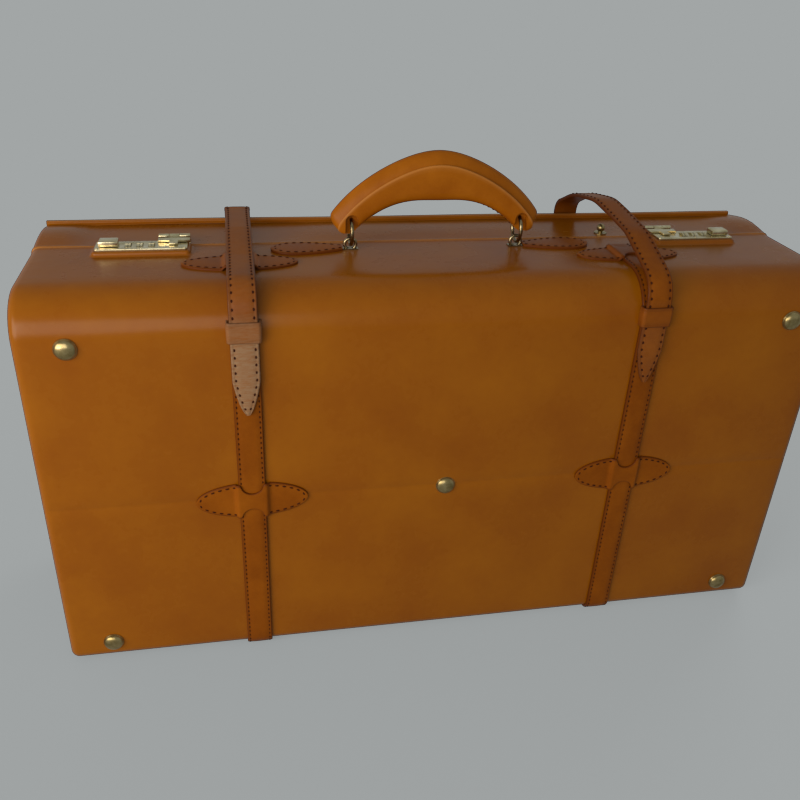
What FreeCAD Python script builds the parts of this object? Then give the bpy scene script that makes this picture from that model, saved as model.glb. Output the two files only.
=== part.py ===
"""Leather suitcase with two combination locks, two straps and a sewn leather handle.

Millimetres. +Z is up, +X runs along the width, the front with the studs faces -Y.
The origin is under the middle of the whole object, on the surface that it stands on.
"""
import math
import os

import FreeCAD
import Part

V = FreeCAD.Vector

# Case: overall size, the seam between tray and lid, and the roundings
WIDTH = 750.0
HEIGHT = 390.0
DEPTH = 206.0
LID_DEPTH = 78.0
TOP_FRONT_R = 40.0
BOTTOM_FRONT_R = 10.0
BACK_R = 7.0
END_R = 8.0
SEAM_GAP = 0.5

# Walls, from the outside in
LEATHER = 4.0
BOARD = 4.0
LINING = 1.5
RIM_HEIGHT = 5.0
RIM_THICK = 4.0
LIP_THICK = 2.5
LIP_REACH = 8.0
LIP_SEAT = 22.0
LIP_CLEAR = 1.0

# Straps and what they pass through
STRAP_X = 187.0
STRAP_WIDTH = 25.0
STRAP_THICK = 3.0
TONGUE_WIDTH = 24.0
PLY_GAP = 0.3
LOOP_LENGTH = 104.0
LOOP_HEIGHT = 38.5
LOOP_THICK = 2.0
LOOP_WAIST = 17.0
LOOP_NOTCH_R = 10.5
LOOP_Z = 183.0
TOP_LOOP_FROM_SEAM = 55.0
STRAP_END_FROM_SEAM = 32.0
KEEPER_Z = 351.0
KEEPER_HEIGHT = 19.0
KEEPER_THICK = 2.0
TIP_Z = 284.0
TIP_POINT = 27.0
TONGUE_BEND_R = 26.0
LEFT_LIFT = 12.0
RIGHT_LIFT = 22.0
RIGHT_SKEW = 15.0
RIGHT_SHORT = 9.0
ARCH_FOOT = 2.0
ARCH_SHOULDER_Y = 61.0
ARCH_SHOULDER_RISE = 25.0
ARCH_PEAK_Y = 75.0
ARCH_PEAK_RISE = 38.0
ARCH_R = 60.0
CURL_REACH = 9.0
CURL_R = 8.0

# Studs
STUD_R = 9.75
STUD_RISE = 6.0
STUD_SHANK_R = 2.0
STUD_INSET_X = 43.0
STUD_FROM_TOP = 44.0
STUD_FROM_BOTTOM = 21.0
WASHER_R = 4.0
WASHER_THICK = 1.2
BUTTON_FLANGE_R = 6.5
BUTTON_NECK_R = 2.4
BUTTON_BALL_R = 4.2
BUTTON_RISE = 10.0
BUTTON_FROM_SEAM = 14.0
EYELET_R = 2.6

# Handle with its rings and chapes
RING_FROM_END = 15.5
RING_FROM_SEAM = 20.0
RING_R = 13.2
RING_WIRE_R = 1.8
RING_FIT = 0.35
RING_FOOT = 5.0
EYE_R = 5.4
EYE_WIRE_R = 1.6
EYE_PLATE = 15.0
EYE_PLATE_THICK = 1.2
HANDLE_LENGTH = 196.0
HANDLE_TOP = 90.0
HANDLE_UNDER = 48.0
HANDLE_FOOT = 20.0
HANDLE_LEG = 22.0
HANDLE_DEPTH = 22.0
HANDLE_CROWN = 9.0
HANDLE_EDGE_R = 3.0
CROWN_MATCH = 0.5
CHAPE_LENGTH = 67.7
CHAPE_WIDTH = 32.0
CHAPE_NECK = 11.0
CHAPE_SWELL = 0.8
CHAPE_BELLY = 0.64
CHAPE_TURN = 0.9
CHAPE_THICK = 3.0

# Combination locks
LOCK_FROM_END = 59.0
LOCK_LENGTH = 82.0
LOCK_WIDTH = 23.0
LOCK_FROM_SEAM = 3.0
LOCK_BED = 4.0
BED_BORDER = 2.4
BED_EDGE_R = 2.0
PLATE_THICK = 2.0
HOUSING_WALL = 1.2
DIAL_COUNT = 3
DIAL_PITCH = 10.4
DIAL_R = 5.9
DIAL_WIDTH = 5.0
DIAL_SINK = 2.0
DIAL_FIRST = 29.0
DIAL_GAP = 0.4
DIAL_DIGITS = 10
DIAL_NOTCH_R = 0.6
SPINDLE_R = 1.0
BORE_CLEAR = 0.05
BUTTON_LENGTH = 17.0
BUTTON_WIDTH = 12.0
BUTTON_HEIGHT = 5.5
BUTTON_END = 3.5
BUTTON_STEM = 4.0
BUTTON_TRAVEL = 5.0
SLIDE_GAP = 0.3
HASP_LENGTH = 29.0
HASP_INNER = 2.0
HASP_THICK = 1.8
HASP_REACH = 17.0
HASP_STEM = 8.0
HASP_PIN_R = 1.0
HASP_KNUCKLE_R = 2.2
HASP_AXIS_Y = 6.0
CATCH_DEPTH = 12.0
CATCH_THICK = 1.2

# Bottom hinges
HINGE_X = 260.0
HINGE_LENGTH = 60.0
HINGE_LEAF = 22.0
HINGE_THICK = 1.4
HINGE_R = 2.4
HINGE_PIN_R = 1.1
HINGE_SWEEP = 4.5

# Places worked out from the sizes above
SIDES = {"left": -1, "right": 1}
FLOOR_GAP = STRAP_THICK
FRONT_PROUD = STRAP_THICK + PLY_GAP + STRAP_THICK + PLY_GAP + KEEPER_THICK
BACK_PROUD = STRAP_THICK + PLY_GAP + LOOP_THICK
FRONT = (FRONT_PROUD - DEPTH - BACK_PROUD) / 2
BACK = FRONT + DEPTH
SEAM = BACK - LID_DEPTH
BOTTOM = FLOOR_GAP
TOP = BOTTOM + HEIGHT
MOUTH = SEAM_GAP / 2
LOCK_OUTER_X = WIDTH / 2 - LOCK_FROM_END
LOCK_Y = SEAM - LOCK_FROM_SEAM - LOCK_WIDTH / 2
LOCK_Z = TOP + LOCK_BED
RING_X = HANDLE_LENGTH / 2 - RING_FROM_END
RING_Y = SEAM - RING_FROM_SEAM
RING_Z = TOP + RING_FOOT + RING_R
TOP_LOOP_Y = SEAM - TOP_LOOP_FROM_SEAM


def save(name, *solids):
    """Write one node; a group of like pieces stays separate solids."""
    shape = solids[0] if len(solids) == 1 else Part.makeCompound(list(solids))
    shape.exportStep("parts/" + name + ".step")


def block(x0, x1, y0, y1, z0, z1):
    return Part.makeBox(x1 - x0, y1 - y0, z1 - z0, V(x0, y0, z0))


def rod(radius, start, axis, length):
    return Part.makeCylinder(radius, length, V(*start), V(*axis))


def outline(corners, plane_x=0.0):
    """A face in the YZ plane from (y, z, radius) corners, each rounded by its radius."""
    count = len(corners)
    legs = []
    for i in range(count):
        here = V(plane_x, corners[i][0], corners[i][1])
        before = V(plane_x, corners[i - 1][0], corners[i - 1][1])
        after = V(plane_x, corners[(i + 1) % count][0], corners[(i + 1) % count][1])
        legs.append(rounded(before, here, after, corners[i][2]))
    return Part.Face(Part.Wire(joined(legs)))


def rounded(before, here, after, radius):
    """The start, middle and end of the arc that rounds one corner."""
    if radius <= 0:
        return (here, None, here)
    back = (before - here).normalize()
    ahead = (after - here).normalize()
    half = back.getAngle(ahead) / 2
    run = radius / math.tan(half)
    inward = (back + ahead).normalize()
    middle = here + inward * (radius / math.sin(half) - radius)
    return (here + back * run, middle, here + ahead * run)


def joined(legs):
    """Straight edges and arcs through the rounded corners, closed."""
    edges = []
    for i, (start, middle, end) in enumerate(legs):
        if middle is not None:
            edges.append(Part.Arc(start, middle, end).toShape())
        following = legs[(i + 1) % len(legs)][0]
        if end.distanceToPoint(following) > 1e-6:
            edges.append(Part.LineSegment(end, following).toShape())
    return edges


def round_ends(solid, mouth_y):
    """Round the edges round both ends, apart from those in the mouth of the seam."""
    if END_R <= 0:
        return solid
    half = solid.BoundBox.XMax
    chosen = []
    for edge in solid.Edges:
        box = edge.BoundBox
        at_end = abs(abs(box.XMin) - half) < 1e-4 and box.XLength < 1e-4
        in_mouth = abs(box.YMin - mouth_y) < 1e-4 and box.YLength < 1e-4
        if at_end and not in_mouth:
            chosen.append(edge)
    return solid.makeFillet(END_R, chosen)


def tray_block(inset, reach=0.0):
    """The tray's volume, a given distance inside the leather's face."""
    mouth = SEAM - MOUTH + reach
    top_r = max(TOP_FRONT_R - inset, 0.0)
    bottom_r = max(BOTTOM_FRONT_R - inset, 0.0)
    face = outline([
        (mouth, BOTTOM + inset, 0),
        (FRONT + inset, BOTTOM + inset, bottom_r),
        (FRONT + inset, TOP - inset, top_r),
        (mouth, TOP - inset, 0),
    ], -WIDTH / 2 + inset)
    return face.extrude(V(WIDTH - 2 * inset, 0, 0))


def lid_block(inset, reach=0.0):
    """The lid's volume, a given distance inside the leather's face."""
    mouth = SEAM + MOUTH - reach
    back_r = max(BACK_R - inset, 0.0)
    face = outline([
        (mouth, TOP - inset, 0),
        (BACK - inset, TOP - inset, back_r),
        (BACK - inset, BOTTOM + inset, back_r),
        (mouth, BOTTOM + inset, 0),
    ], -WIDTH / 2 + inset)
    return face.extrude(V(WIDTH - 2 * inset, 0, 0))


def lock_span(side):
    """The lock plate's lower and upper X on one side."""
    outer = side * LOCK_OUTER_X
    inner = side * (LOCK_OUTER_X - LOCK_LENGTH)
    return min(outer, inner), max(outer, inner)


def dial_x(side, number):
    return side * (LOCK_OUTER_X - DIAL_FIRST - number * DIAL_PITCH)


def housing_box(side, grow):
    """The sunk box round the dials, grown by a clearance."""
    first = dial_x(side, 0)
    last = dial_x(side, DIAL_COUNT - 1)
    reach = DIAL_WIDTH / 2 + DIAL_GAP + HOUSING_WALL + grow
    half = DIAL_R + DIAL_GAP + HOUSING_WALL + grow
    floor = TOP - LEATHER - BOARD
    return block(min(first, last) - reach, max(first, last) + reach, LOCK_Y - half, LOCK_Y + half, floor, LOCK_Z)


def button_place(side):
    """The middle of the release button at rest."""
    return side * (LOCK_OUTER_X - BUTTON_END - BUTTON_LENGTH / 2)


def button_slot(side, grow, low, high):
    """The room for the button's stem over its travel, which runs towards the dials."""
    rest = button_place(side)
    pressed = rest - side * BUTTON_TRAVEL
    half = BUTTON_STEM / 2 + grow
    return block(min(rest, pressed) - half, max(rest, pressed) + half, LOCK_Y - half, LOCK_Y + half, low, high)


def stud_places():
    high = TOP - STUD_FROM_TOP
    low = BOTTOM + STUD_FROM_BOTTOM
    reach = WIDTH / 2 - STUD_INSET_X
    return [(-reach, high), (reach, high), (0.0, (high + low) / 2), (-reach, low), (reach, low)]


def hinge_centres():
    return [-HINGE_X, 0.0, HINGE_X]


def hinge_room():
    """Grooves for the hinge barrels in the bottom edges of tray and lid."""
    radius = HINGE_R + SLIDE_GAP
    length = HINGE_LENGTH + 2 * SLIDE_GAP
    return [rod(radius, (x - length / 2, SEAM, BOTTOM), (1, 0, 0), length) for x in hinge_centres()]


def case_holes():
    """Stud shanks and lock housings through the tray's walls."""
    depth = LEATHER + BOARD
    cuts = [rod(STUD_SHANK_R, (x, FRONT, z), (0, 1, 0), depth) for x, z in stud_places()]
    for side in SIDES.values():
        cuts.append(housing_box(side, 0.0))
    return cuts + hinge_room()


def make_tray():
    holes = case_holes()
    cover = round_ends(tray_block(0.0), SEAM - MOUTH).cut(tray_block(LEATHER, MOUTH))
    save("case_cover", *split_ends(cover.cut(holes), LEATHER))
    depth = LEATHER + BOARD
    board = tray_block(LEATHER).cut(tray_block(depth, MOUTH))
    save("tray_board", *split_ends(board.cut(holes), depth))
    lining = tray_block(depth).cut(tray_block(depth + LINING, MOUTH))
    save("tray_lining", lining.cut(stud_washer_room()))
    save("tray_lip", *lip_strips())


def split_ends(shell, depth):
    """A shell as it is made up: the run over top, face and bottom, and two end panels."""
    outer = WIDTH / 2
    inner = outer - depth
    reach = HEIGHT + DEPTH
    slabs = [block(low, high, -reach, reach, -reach, reach) for low, high in ((-outer, -inner), (inner, outer))]
    return [shell.cut(slabs)] + [shell.common(slab) for slab in slabs]


def stud_washer_room():
    start = FRONT + LEATHER + BOARD
    return [rod(WASHER_R, (x, start, z), (0, 1, 0), LINING) for x, z in stud_places()]


def lip_strips():
    """The frame in the tray's mouth, of four strips, with a lip that lines up the lid."""
    seat = LEATHER + BOARD + LINING
    outer = seat + LIP_CLEAR
    frame = block(
        -WIDTH / 2 + outer, WIDTH / 2 - outer,
        SEAM - LIP_SEAT, SEAM + LIP_REACH,
        BOTTOM + outer, TOP - outer,
    )
    collar = block(
        -WIDTH / 2 + seat, WIDTH / 2 - seat,
        SEAM - LIP_SEAT, SEAM - MOUTH,
        BOTTOM + seat, TOP - seat,
    )
    inner = outer + LIP_THICK
    hollow = block(
        -WIDTH / 2 + inner, WIDTH / 2 - inner,
        SEAM - LIP_SEAT, SEAM + LIP_REACH,
        BOTTOM + inner, TOP - inner,
    )
    ring = frame.fuse(collar).cut(hollow).removeSplitter()
    upper = block(-WIDTH, WIDTH, SEAM - LIP_SEAT, SEAM + LIP_REACH, TOP - inner, TOP)
    lower = block(-WIDTH, WIDTH, SEAM - LIP_SEAT, SEAM + LIP_REACH, BOTTOM, BOTTOM + inner)
    return [ring.common(upper), ring.common(lower)] + ring.cut([upper, lower]).Solids


def make_lid():
    room = hinge_room() + [button_shank(side) for side in SIDES.values()]
    cover = round_ends(lid_block(0.0), SEAM + MOUTH).cut(lid_block(LEATHER, MOUTH))
    save("lid_cover", *split_ends(cover.cut(room), LEATHER))
    depth = LEATHER + BOARD
    board = lid_block(LEATHER).cut(lid_block(depth, MOUTH))
    save("lid_board", *split_ends(board.cut(room), depth))
    lining = lid_block(depth).cut(lid_block(depth + LINING, MOUTH))
    save("lid_lining", lining)
    save("lid_rim", rim_strip())


def rim_strip():
    """The raised welt sewn along the rear top edge."""
    reach = WIDTH / 2 - END_R
    half = RIM_THICK / 2
    centre = BACK - BACK_R - half
    strip = block(-reach, reach, centre - half, centre + half, TOP, TOP + RIM_HEIGHT)
    crest = [e for e in strip.Edges if e.BoundBox.ZMin > TOP + RIM_HEIGHT / 2]
    return strip.makeFillet(half * 0.6, [e for e in crest if e.BoundBox.XLength > reach])


def domed_stud(x, z):
    """A domed brass stud with its shank, turned about Y."""
    rim = V(x + STUD_R, FRONT, z)
    crown = V(x, FRONT - STUD_RISE, z)
    curve_r = (STUD_R ** 2 + STUD_RISE ** 2) / (2 * STUD_RISE)
    centre = V(x, FRONT - STUD_RISE + curve_r, z)
    angle = math.asin(STUD_R / curve_r) / 2
    middle = centre + V(math.sin(angle), -math.cos(angle), 0) * curve_r
    edges = [
        Part.LineSegment(V(x, FRONT, z), rim).toShape(),
        Part.Arc(rim, middle, crown).toShape(),
        Part.LineSegment(crown, V(x, FRONT, z)).toShape(),
    ]
    dome = Part.Face(Part.Wire(edges)).revolve(V(x, FRONT, z), V(0, 1, 0), 360)
    shank = rod(STUD_SHANK_R, (x, FRONT, z), (0, 1, 0), LEATHER + BOARD + WASHER_THICK)
    return dome.fuse(shank).removeSplitter()


def make_studs():
    start = FRONT + LEATHER + BOARD
    save("front_studs", *[domed_stud(x, z) for x, z in stud_places()])
    washers = []
    for x, z in stud_places():
        ring = rod(WASHER_R, (x, start, z), (0, 1, 0), WASHER_THICK)
        washers.append(ring.cut(rod(STUD_SHANK_R, (x, start, z), (0, 1, 0), WASHER_THICK)))
    save("stud_washers", *washers)


def button_y():
    return SEAM + BUTTON_FROM_SEAM


def button_shank(side):
    return rod(BUTTON_NECK_R, (side * STRAP_X, button_y(), TOP - LEATHER - BOARD), (0, 0, 1), LEATHER + BOARD)


def make_strap_studs():
    """Collar studs on the lid that the straps button on to."""
    for name, side in SIDES.items():
        x = side * STRAP_X
        flange = rod(BUTTON_FLANGE_R, (x, button_y(), TOP), (0, 0, 1), RIM_THICK / 4)
        neck = rod(BUTTON_NECK_R, (x, button_y(), TOP), (0, 0, 1), BUTTON_RISE - BUTTON_BALL_R)
        ball = Part.makeSphere(BUTTON_BALL_R, V(x, button_y(), TOP + BUTTON_RISE - BUTTON_BALL_R))
        stud = button_shank(side).fuse([flange, neck, ball]).removeSplitter()
        save("strap_stud_" + name, stud)


def skin(thickness, x, width):
    """A band of leather lying on the tray, all round its outline."""
    half = width / 2
    span = block(x - half, x + half, FRONT - thickness, SEAM, BOTTOM - thickness, TOP + thickness)
    return tray_block(-thickness).common(span).cut(tray_block(0.0, MOUTH))


def make_under_straps():
    """The fixed strap: from the top, down the front and under the tray."""
    for name, side in SIDES.items():
        x = side * STRAP_X
        band = skin(STRAP_THICK, x, STRAP_WIDTH)
        half = STRAP_WIDTH
        rear_top = block(x - half, x + half, SEAM - STRAP_END_FROM_SEAM, SEAM, TOP - END_R, TOP + 2 * STRAP_THICK)
        rear_low = block(x - half, x + half, SEAM - HINGE_SWEEP, SEAM, BOTTOM - 2 * STRAP_THICK, BOTTOM + END_R)
        save("under_strap_" + name, band.cut([rear_top, rear_low]))


def oval(thickness):
    """A stadium-ended oval patch lying in the XY plane, its long axis along X."""
    half_x = LOOP_LENGTH / 2
    half_y = LOOP_HEIGHT / 2
    curve = Part.Ellipse(V(0, 0, 0), half_x, half_y)
    face = Part.Face(Part.Wire([curve.toShape()]))
    return face.extrude(V(0, 0, thickness))


def loop_patch():
    """An oval patch with a narrower bridge over the strap, lying on Z = 0."""
    rise = STRAP_THICK + PLY_GAP + LOOP_THICK
    half = STRAP_WIDTH / 2 + PLY_GAP
    reach = LOOP_LENGTH
    wall = half + LOOP_THICK
    bridge = oval(rise).common(block(-wall, wall, -reach, reach, 0, rise))
    channel = block(-half, half, -reach, reach, 0, STRAP_THICK + PLY_GAP)
    middle = LOOP_WAIST / 2 + LOOP_NOTCH_R
    notches = [rod(LOOP_NOTCH_R, (0, hand * middle, 0), (0, 0, 1), rise) for hand in (-1, 1)]
    return oval(LOOP_THICK).fuse(bridge).cut([channel] + notches).removeSplitter()


def make_loops():
    for name, side in SIDES.items():
        front = loop_patch()
        front.rotate(V(0, 0, 0), V(1, 0, 0), 90)
        front.translate(V(side * STRAP_X, FRONT, BOTTOM + LOOP_Z))
        save("front_loop_" + name, front)
        upper = loop_patch()
        upper.translate(V(side * STRAP_X, TOP_LOOP_Y, TOP))
        save("top_loop_" + name, upper)
        rear = loop_patch()
        rear.rotate(V(0, 0, 0), V(1, 0, 0), -90)
        rear.rotate(V(0, 0, 0), V(0, 1, 0), back_lean(side))
        rear.translate(V(back_x(side, BOTTOM + LOOP_Z), BACK, BOTTOM + LOOP_Z))
        save("back_loop_" + name, rear)


def make_keepers():
    """A sewn loop round both plies, with a straight way through for the tongue."""
    for name, side in SIDES.items():
        x = side * STRAP_X
        half = STRAP_WIDTH / 2 + PLY_GAP
        low = KEEPER_Z
        high = KEEPER_Z + KEEPER_HEIGHT
        deep = FRONT - FRONT_PROUD
        body = block(x - half - KEEPER_THICK, x + half + KEEPER_THICK, deep, FRONT + END_R, low, high)
        way = block(x - half, x + half, deep + KEEPER_THICK, FRONT + END_R, low, high)
        save("strap_keeper_" + name, body.cut([way, tray_block(0.0)]))


def skew(side):
    """How far the strap's rear end lies off its axis: only the right strap is unbuttoned."""
    return RIGHT_SKEW if side > 0 else 0.0


def back_lean(side):
    """The turn of the strap on the back, in degrees, from the skew over the height."""
    return -math.degrees(math.atan2(skew(side), HEIGHT))


def back_x(side, z):
    return side * STRAP_X - skew(side) * (z - BOTTOM) / HEIGHT


def strap_crest(side):
    """The height of the strap's underside above the rim."""
    return TOP + (RIGHT_LIFT if side > 0 else LEFT_LIFT)


def tongue_rear():
    return BACK - CURL_REACH


def make_tongues():
    """The loose end of each strap: over the top and down the front through the keeper."""
    for name, side in SIDES.items():
        inner = FRONT - STRAP_THICK - PLY_GAP
        outer = inner - STRAP_THICK
        crest = strap_crest(side)
        rear = tongue_rear() - PLY_GAP
        tip = tip_height(side)
        bend, first, second = tongue_knees(side)
        section = outline([
            (inner, tip, 0),
            (inner, bend, TONGUE_BEND_R),
            first,
            second,
            (rear, crest, 0),
            (rear, crest + STRAP_THICK, 0),
            upper_side(second, 1),
            upper_side(first, side),
            (outer, bend + STRAP_THICK, TONGUE_BEND_R + STRAP_THICK),
            (outer, tip, 0),
        ])
        turn = math.degrees(math.atan2(skew(side), DEPTH))
        section.rotate(V(0, inner, 0), V(0, 0, 1), turn)
        section.translate(V(side * STRAP_X - TONGUE_WIDTH / 2, 0, 0))
        band = section.extrude(V(TONGUE_WIDTH, 0, 0))
        pointed = band.cut(tip_corners(side * STRAP_X, outer, inner, tip))
        save("strap_tongue_" + name, pointed.cut(eyelet(side)))


def tongue_knees(side):
    """The height of the front bend, then two knees on top: the right strap stands in an arch."""
    if side > 0:
        shoulder = (FRONT + ARCH_SHOULDER_Y, TOP + ARCH_SHOULDER_RISE, ARCH_R)
        return TOP - ARCH_FOOT, shoulder, (BACK - ARCH_PEAK_Y, TOP + ARCH_PEAK_RISE, ARCH_R)
    flat = TOP + STRAP_THICK + PLY_GAP + LOOP_THICK + PLY_GAP
    crown = (SEAM + BUTTON_FROM_SEAM / 2, strap_crest(side), TONGUE_BEND_R)
    return flat, (TOP_LOOP_Y, flat, TONGUE_BEND_R * 2), crown


def upper_side(knee, turn):
    """A knee's place on the strap's upper face; turn is +1 for a crest and -1 for a dip."""
    y, z, radius = knee
    return y, z + STRAP_THICK, radius + turn * STRAP_THICK


def tip_height(side):
    """The right tongue is drawn up by its arch."""
    return TIP_Z + (RIGHT_SHORT if side > 0 else 0.0)


def tip_corners(x, outer, inner, tip):
    """The two wedges that cut the tongue to a point."""
    cuts = []
    for hand in (-1, 1):
        edge = x + hand * TONGUE_WIDTH
        near = outer - END_R
        points = [V(x, near, tip), V(edge, near, tip), V(edge, near, tip + 2 * TIP_POINT)]
        wire = Part.makePolygon(points + points[:1])
        cuts.append(Part.Face(wire).extrude(V(0, inner - outer + 2 * END_R, 0)))
    return cuts


def eyelet(side):
    """The hole for the collar stud."""
    x = side * STRAP_X - skew(side) * (button_y() - FRONT) / DEPTH
    return rod(EYELET_R, (x, button_y(), TOP), (0, 0, 1), HANDLE_UNDER)


def make_back_straps():
    """The strap on the lid: under it, up the back and curled over the rim."""
    for name, side in SIDES.items():
        x = side * STRAP_X
        half = STRAP_WIDTH / 2
        crest = strap_crest(side)
        low = BOTTOM - STRAP_THICK
        under = block(x - half, x + half, SEAM + HINGE_SWEEP, BACK + STRAP_THICK, low, BOTTOM)
        section = outline([
            (BACK, BOTTOM, 0),
            (BACK, crest, CURL_R - STRAP_THICK),
            (tongue_rear(), crest, 0),
            (tongue_rear(), crest + STRAP_THICK, 0),
            (BACK + STRAP_THICK, crest + STRAP_THICK, CURL_R),
            (BACK + STRAP_THICK, BOTTOM, 0),
        ], x - half)
        run = section.extrude(V(STRAP_WIDTH, 0, 0))
        run.rotate(V(x, 0, BOTTOM), V(0, 1, 0), back_lean(side))
        foot = block(x - half, x + half, BACK, BACK + STRAP_THICK, low, BOTTOM + STRAP_THICK)
        save("back_strap_" + name, under.fuse([foot, run]).removeSplitter())


def ring_at(side, grow):
    """A handle ring standing in the YZ plane."""
    return Part.makeTorus(RING_R, RING_WIRE_R + grow, V(side * RING_X, RING_Y, RING_Z), V(1, 0, 0))


def make_handle():
    """The sewn leather handle, an arch with a slot at each foot for its ring."""
    half = HANDLE_LENGTH / 2
    foot = TOP + HANDLE_FOOT
    y0 = RING_Y - HANDLE_DEPTH / 2
    outer = [V(-half, y0, foot), V(0, y0, TOP + HANDLE_TOP), V(half, y0, foot)]
    inner = [V(half - HANDLE_LEG, y0, foot), V(0, y0, TOP + HANDLE_UNDER), V(HANDLE_LEG - half, y0, foot)]
    edges = [
        Part.Arc(*outer).toShape(),
        Part.LineSegment(outer[2], inner[0]).toShape(),
        Part.Arc(*inner).toShape(),
        Part.LineSegment(inner[2], outer[0]).toShape(),
    ]
    arch = Part.Face(Part.Wire(edges)).extrude(V(0, HANDLE_DEPTH, 0))
    arch = arch.makeChamfer(HANDLE_CROWN, rim_edges(arch, TOP + HANDLE_TOP))
    arch = arch.makeFillet(HANDLE_EDGE_R, rim_edges(arch, TOP + HANDLE_UNDER))
    save("handle_grip", arch.cut([ring_at(side, RING_FIT) for side in SIDES.values()]))
    for name, side in SIDES.items():
        save("handle_ring_" + name, ring_at(side, 0.0))


def rim_edges(arch, crown):
    """The two long edges of the handle's outer or inner face, by the height of their crown."""
    long_edges = [e for e in arch.Edges if e.BoundBox.XLength > HANDLE_LENGTH / 2]
    return [e for e in long_edges if abs(e.BoundBox.ZMax - crown) < CROWN_MATCH]


def make_eyes():
    """Metal eyes on small plates, each linked with its ring."""
    half = EYE_PLATE / 2
    for name, side in SIDES.items():
        x = side * RING_X
        loop = Part.makeTorus(EYE_R, EYE_WIRE_R, V(x, RING_Y, TOP + RING_FOOT), V(0, 1, 0))
        reach = EYE_R + EYE_WIRE_R
        loop = loop.cut(block(x - reach, x + reach, RING_Y - reach, RING_Y + reach, TOP - 2 * reach, TOP))
        plate = block(x - half, x + half, RING_Y - half / 2, RING_Y + half / 2, TOP, TOP + EYE_PLATE_THICK)
        save("handle_eye_" + name, loop.fuse(plate).removeSplitter())


def make_chapes():
    """Leaf-shaped leather tabs sewn to the tray, narrow at the eyes and broad at the outer end."""
    start = RING_X + EYE_PLATE / 2 + SLIDE_GAP
    half = CHAPE_WIDTH / 2
    shares = [
        (0.0, CHAPE_NECK / CHAPE_WIDTH),
        (CHAPE_BELLY / 2, CHAPE_SWELL),
        (CHAPE_BELLY, 1.0),
        (CHAPE_TURN, CHAPE_SWELL),
    ]
    lower = [V(start + along * CHAPE_LENGTH, RING_Y - out * half, TOP) for along, out in shares]
    upper = [V(p.x, 2 * RING_Y - p.y, TOP) for p in reversed(lower)]
    curve = Part.BSplineCurve()
    curve.interpolate(lower + [V(start + CHAPE_LENGTH, RING_Y, TOP)] + upper)
    neck = Part.LineSegment(upper[-1], lower[0]).toShape()
    for name, side in SIDES.items():
        tab = Part.Face(Part.Wire([curve.toShape(), neck])).extrude(V(0, 0, CHAPE_THICK))
        if side < 0:
            tab = tab.mirror(V(0, 0, 0), V(1, 0, 0))
        save("handle_chape_" + name, tab)


def make_lock_bed(name, side):
    """The raised leather bed that the lock plate sits on."""
    low, high = lock_span(side)
    half = LOCK_WIDTH / 2 + BED_BORDER
    bed = block(low - BED_BORDER, high + BED_BORDER, LOCK_Y - half, LOCK_Y + half, TOP, LOCK_Z)
    upright = [e for e in bed.Edges if e.BoundBox.ZLength > LOCK_BED / 2]
    bed = bed.makeFillet(BED_EDGE_R * 2, upright)
    crest = [e for e in bed.Edges if e.BoundBox.ZMin > TOP + LOCK_BED / 2]
    bed = bed.makeFillet(BED_EDGE_R, crest)
    save("lock_bed_" + name, bed.cut([housing_box(side, 0.0), button_slot(side, SLIDE_GAP, TOP, LOCK_Z)]))


def make_lock_case(name, side):
    """The lock's plate with the sunk housing that carries the dials."""
    low, high = lock_span(side)
    half = LOCK_WIDTH / 2
    plate = block(low, high, LOCK_Y - half, LOCK_Y + half, LOCK_Z, LOCK_Z + PLATE_THICK)
    upright = [e for e in plate.Edges if e.BoundBox.ZLength > PLATE_THICK / 2]
    plate = plate.makeFillet(PLATE_THICK, upright)
    box = housing_box(side, 0.0)
    first = dial_x(side, 0)
    last = dial_x(side, DIAL_COUNT - 1)
    room = DIAL_R + DIAL_GAP
    reach = DIAL_WIDTH / 2 + DIAL_GAP
    well = block(
        min(first, last) - reach, max(first, last) + reach,
        LOCK_Y - room, LOCK_Y + room,
        TOP - LEATHER - BOARD, LOCK_Z,
    )
    cuts = [well, button_slot(side, SLIDE_GAP, LOCK_Z, LOCK_Z + PLATE_THICK), spindle(side, HOUSING_WALL)]
    for number in range(DIAL_COUNT):
        x = dial_x(side, number)
        cuts.append(block(x - reach, x + reach, LOCK_Y - room, LOCK_Y + room, LOCK_Z, LOCK_Z + PLATE_THICK))
    save("lock_case_" + name, plate.fuse(box).cut(cuts).removeSplitter())


def spindle(side, past):
    """The rod that the dials turn on."""
    first = dial_x(side, 0)
    last = dial_x(side, DIAL_COUNT - 1)
    reach = DIAL_WIDTH / 2 + DIAL_GAP + past
    start = min(first, last) - reach
    return rod(SPINDLE_R, (start, LOCK_Y, LOCK_Z - DIAL_SINK), (1, 0, 0), abs(last - first) + 2 * reach)


def make_dials(name, side):
    for number in range(DIAL_COUNT):
        x = dial_x(side, number) - DIAL_WIDTH / 2
        wheel = rod(DIAL_R, (x, LOCK_Y, LOCK_Z - DIAL_SINK), (1, 0, 0), DIAL_WIDTH)
        bore = rod(SPINDLE_R + BORE_CLEAR, (x, LOCK_Y, LOCK_Z - DIAL_SINK), (1, 0, 0), DIAL_WIDTH)
        save("lock_dial_" + name + "_" + str(number + 1), wheel.cut([bore] + dial_notches(x)))


def dial_notches(x):
    """Finger notches between the digits."""
    notches = []
    for digit in range(DIAL_DIGITS):
        angle = 2 * math.pi * (digit + 0.5) / DIAL_DIGITS
        y = LOCK_Y + DIAL_R * math.sin(angle)
        z = LOCK_Z - DIAL_SINK + DIAL_R * math.cos(angle)
        notches.append(rod(DIAL_NOTCH_R, (x, y, z), (1, 0, 0), DIAL_WIDTH))
    return notches


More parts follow.
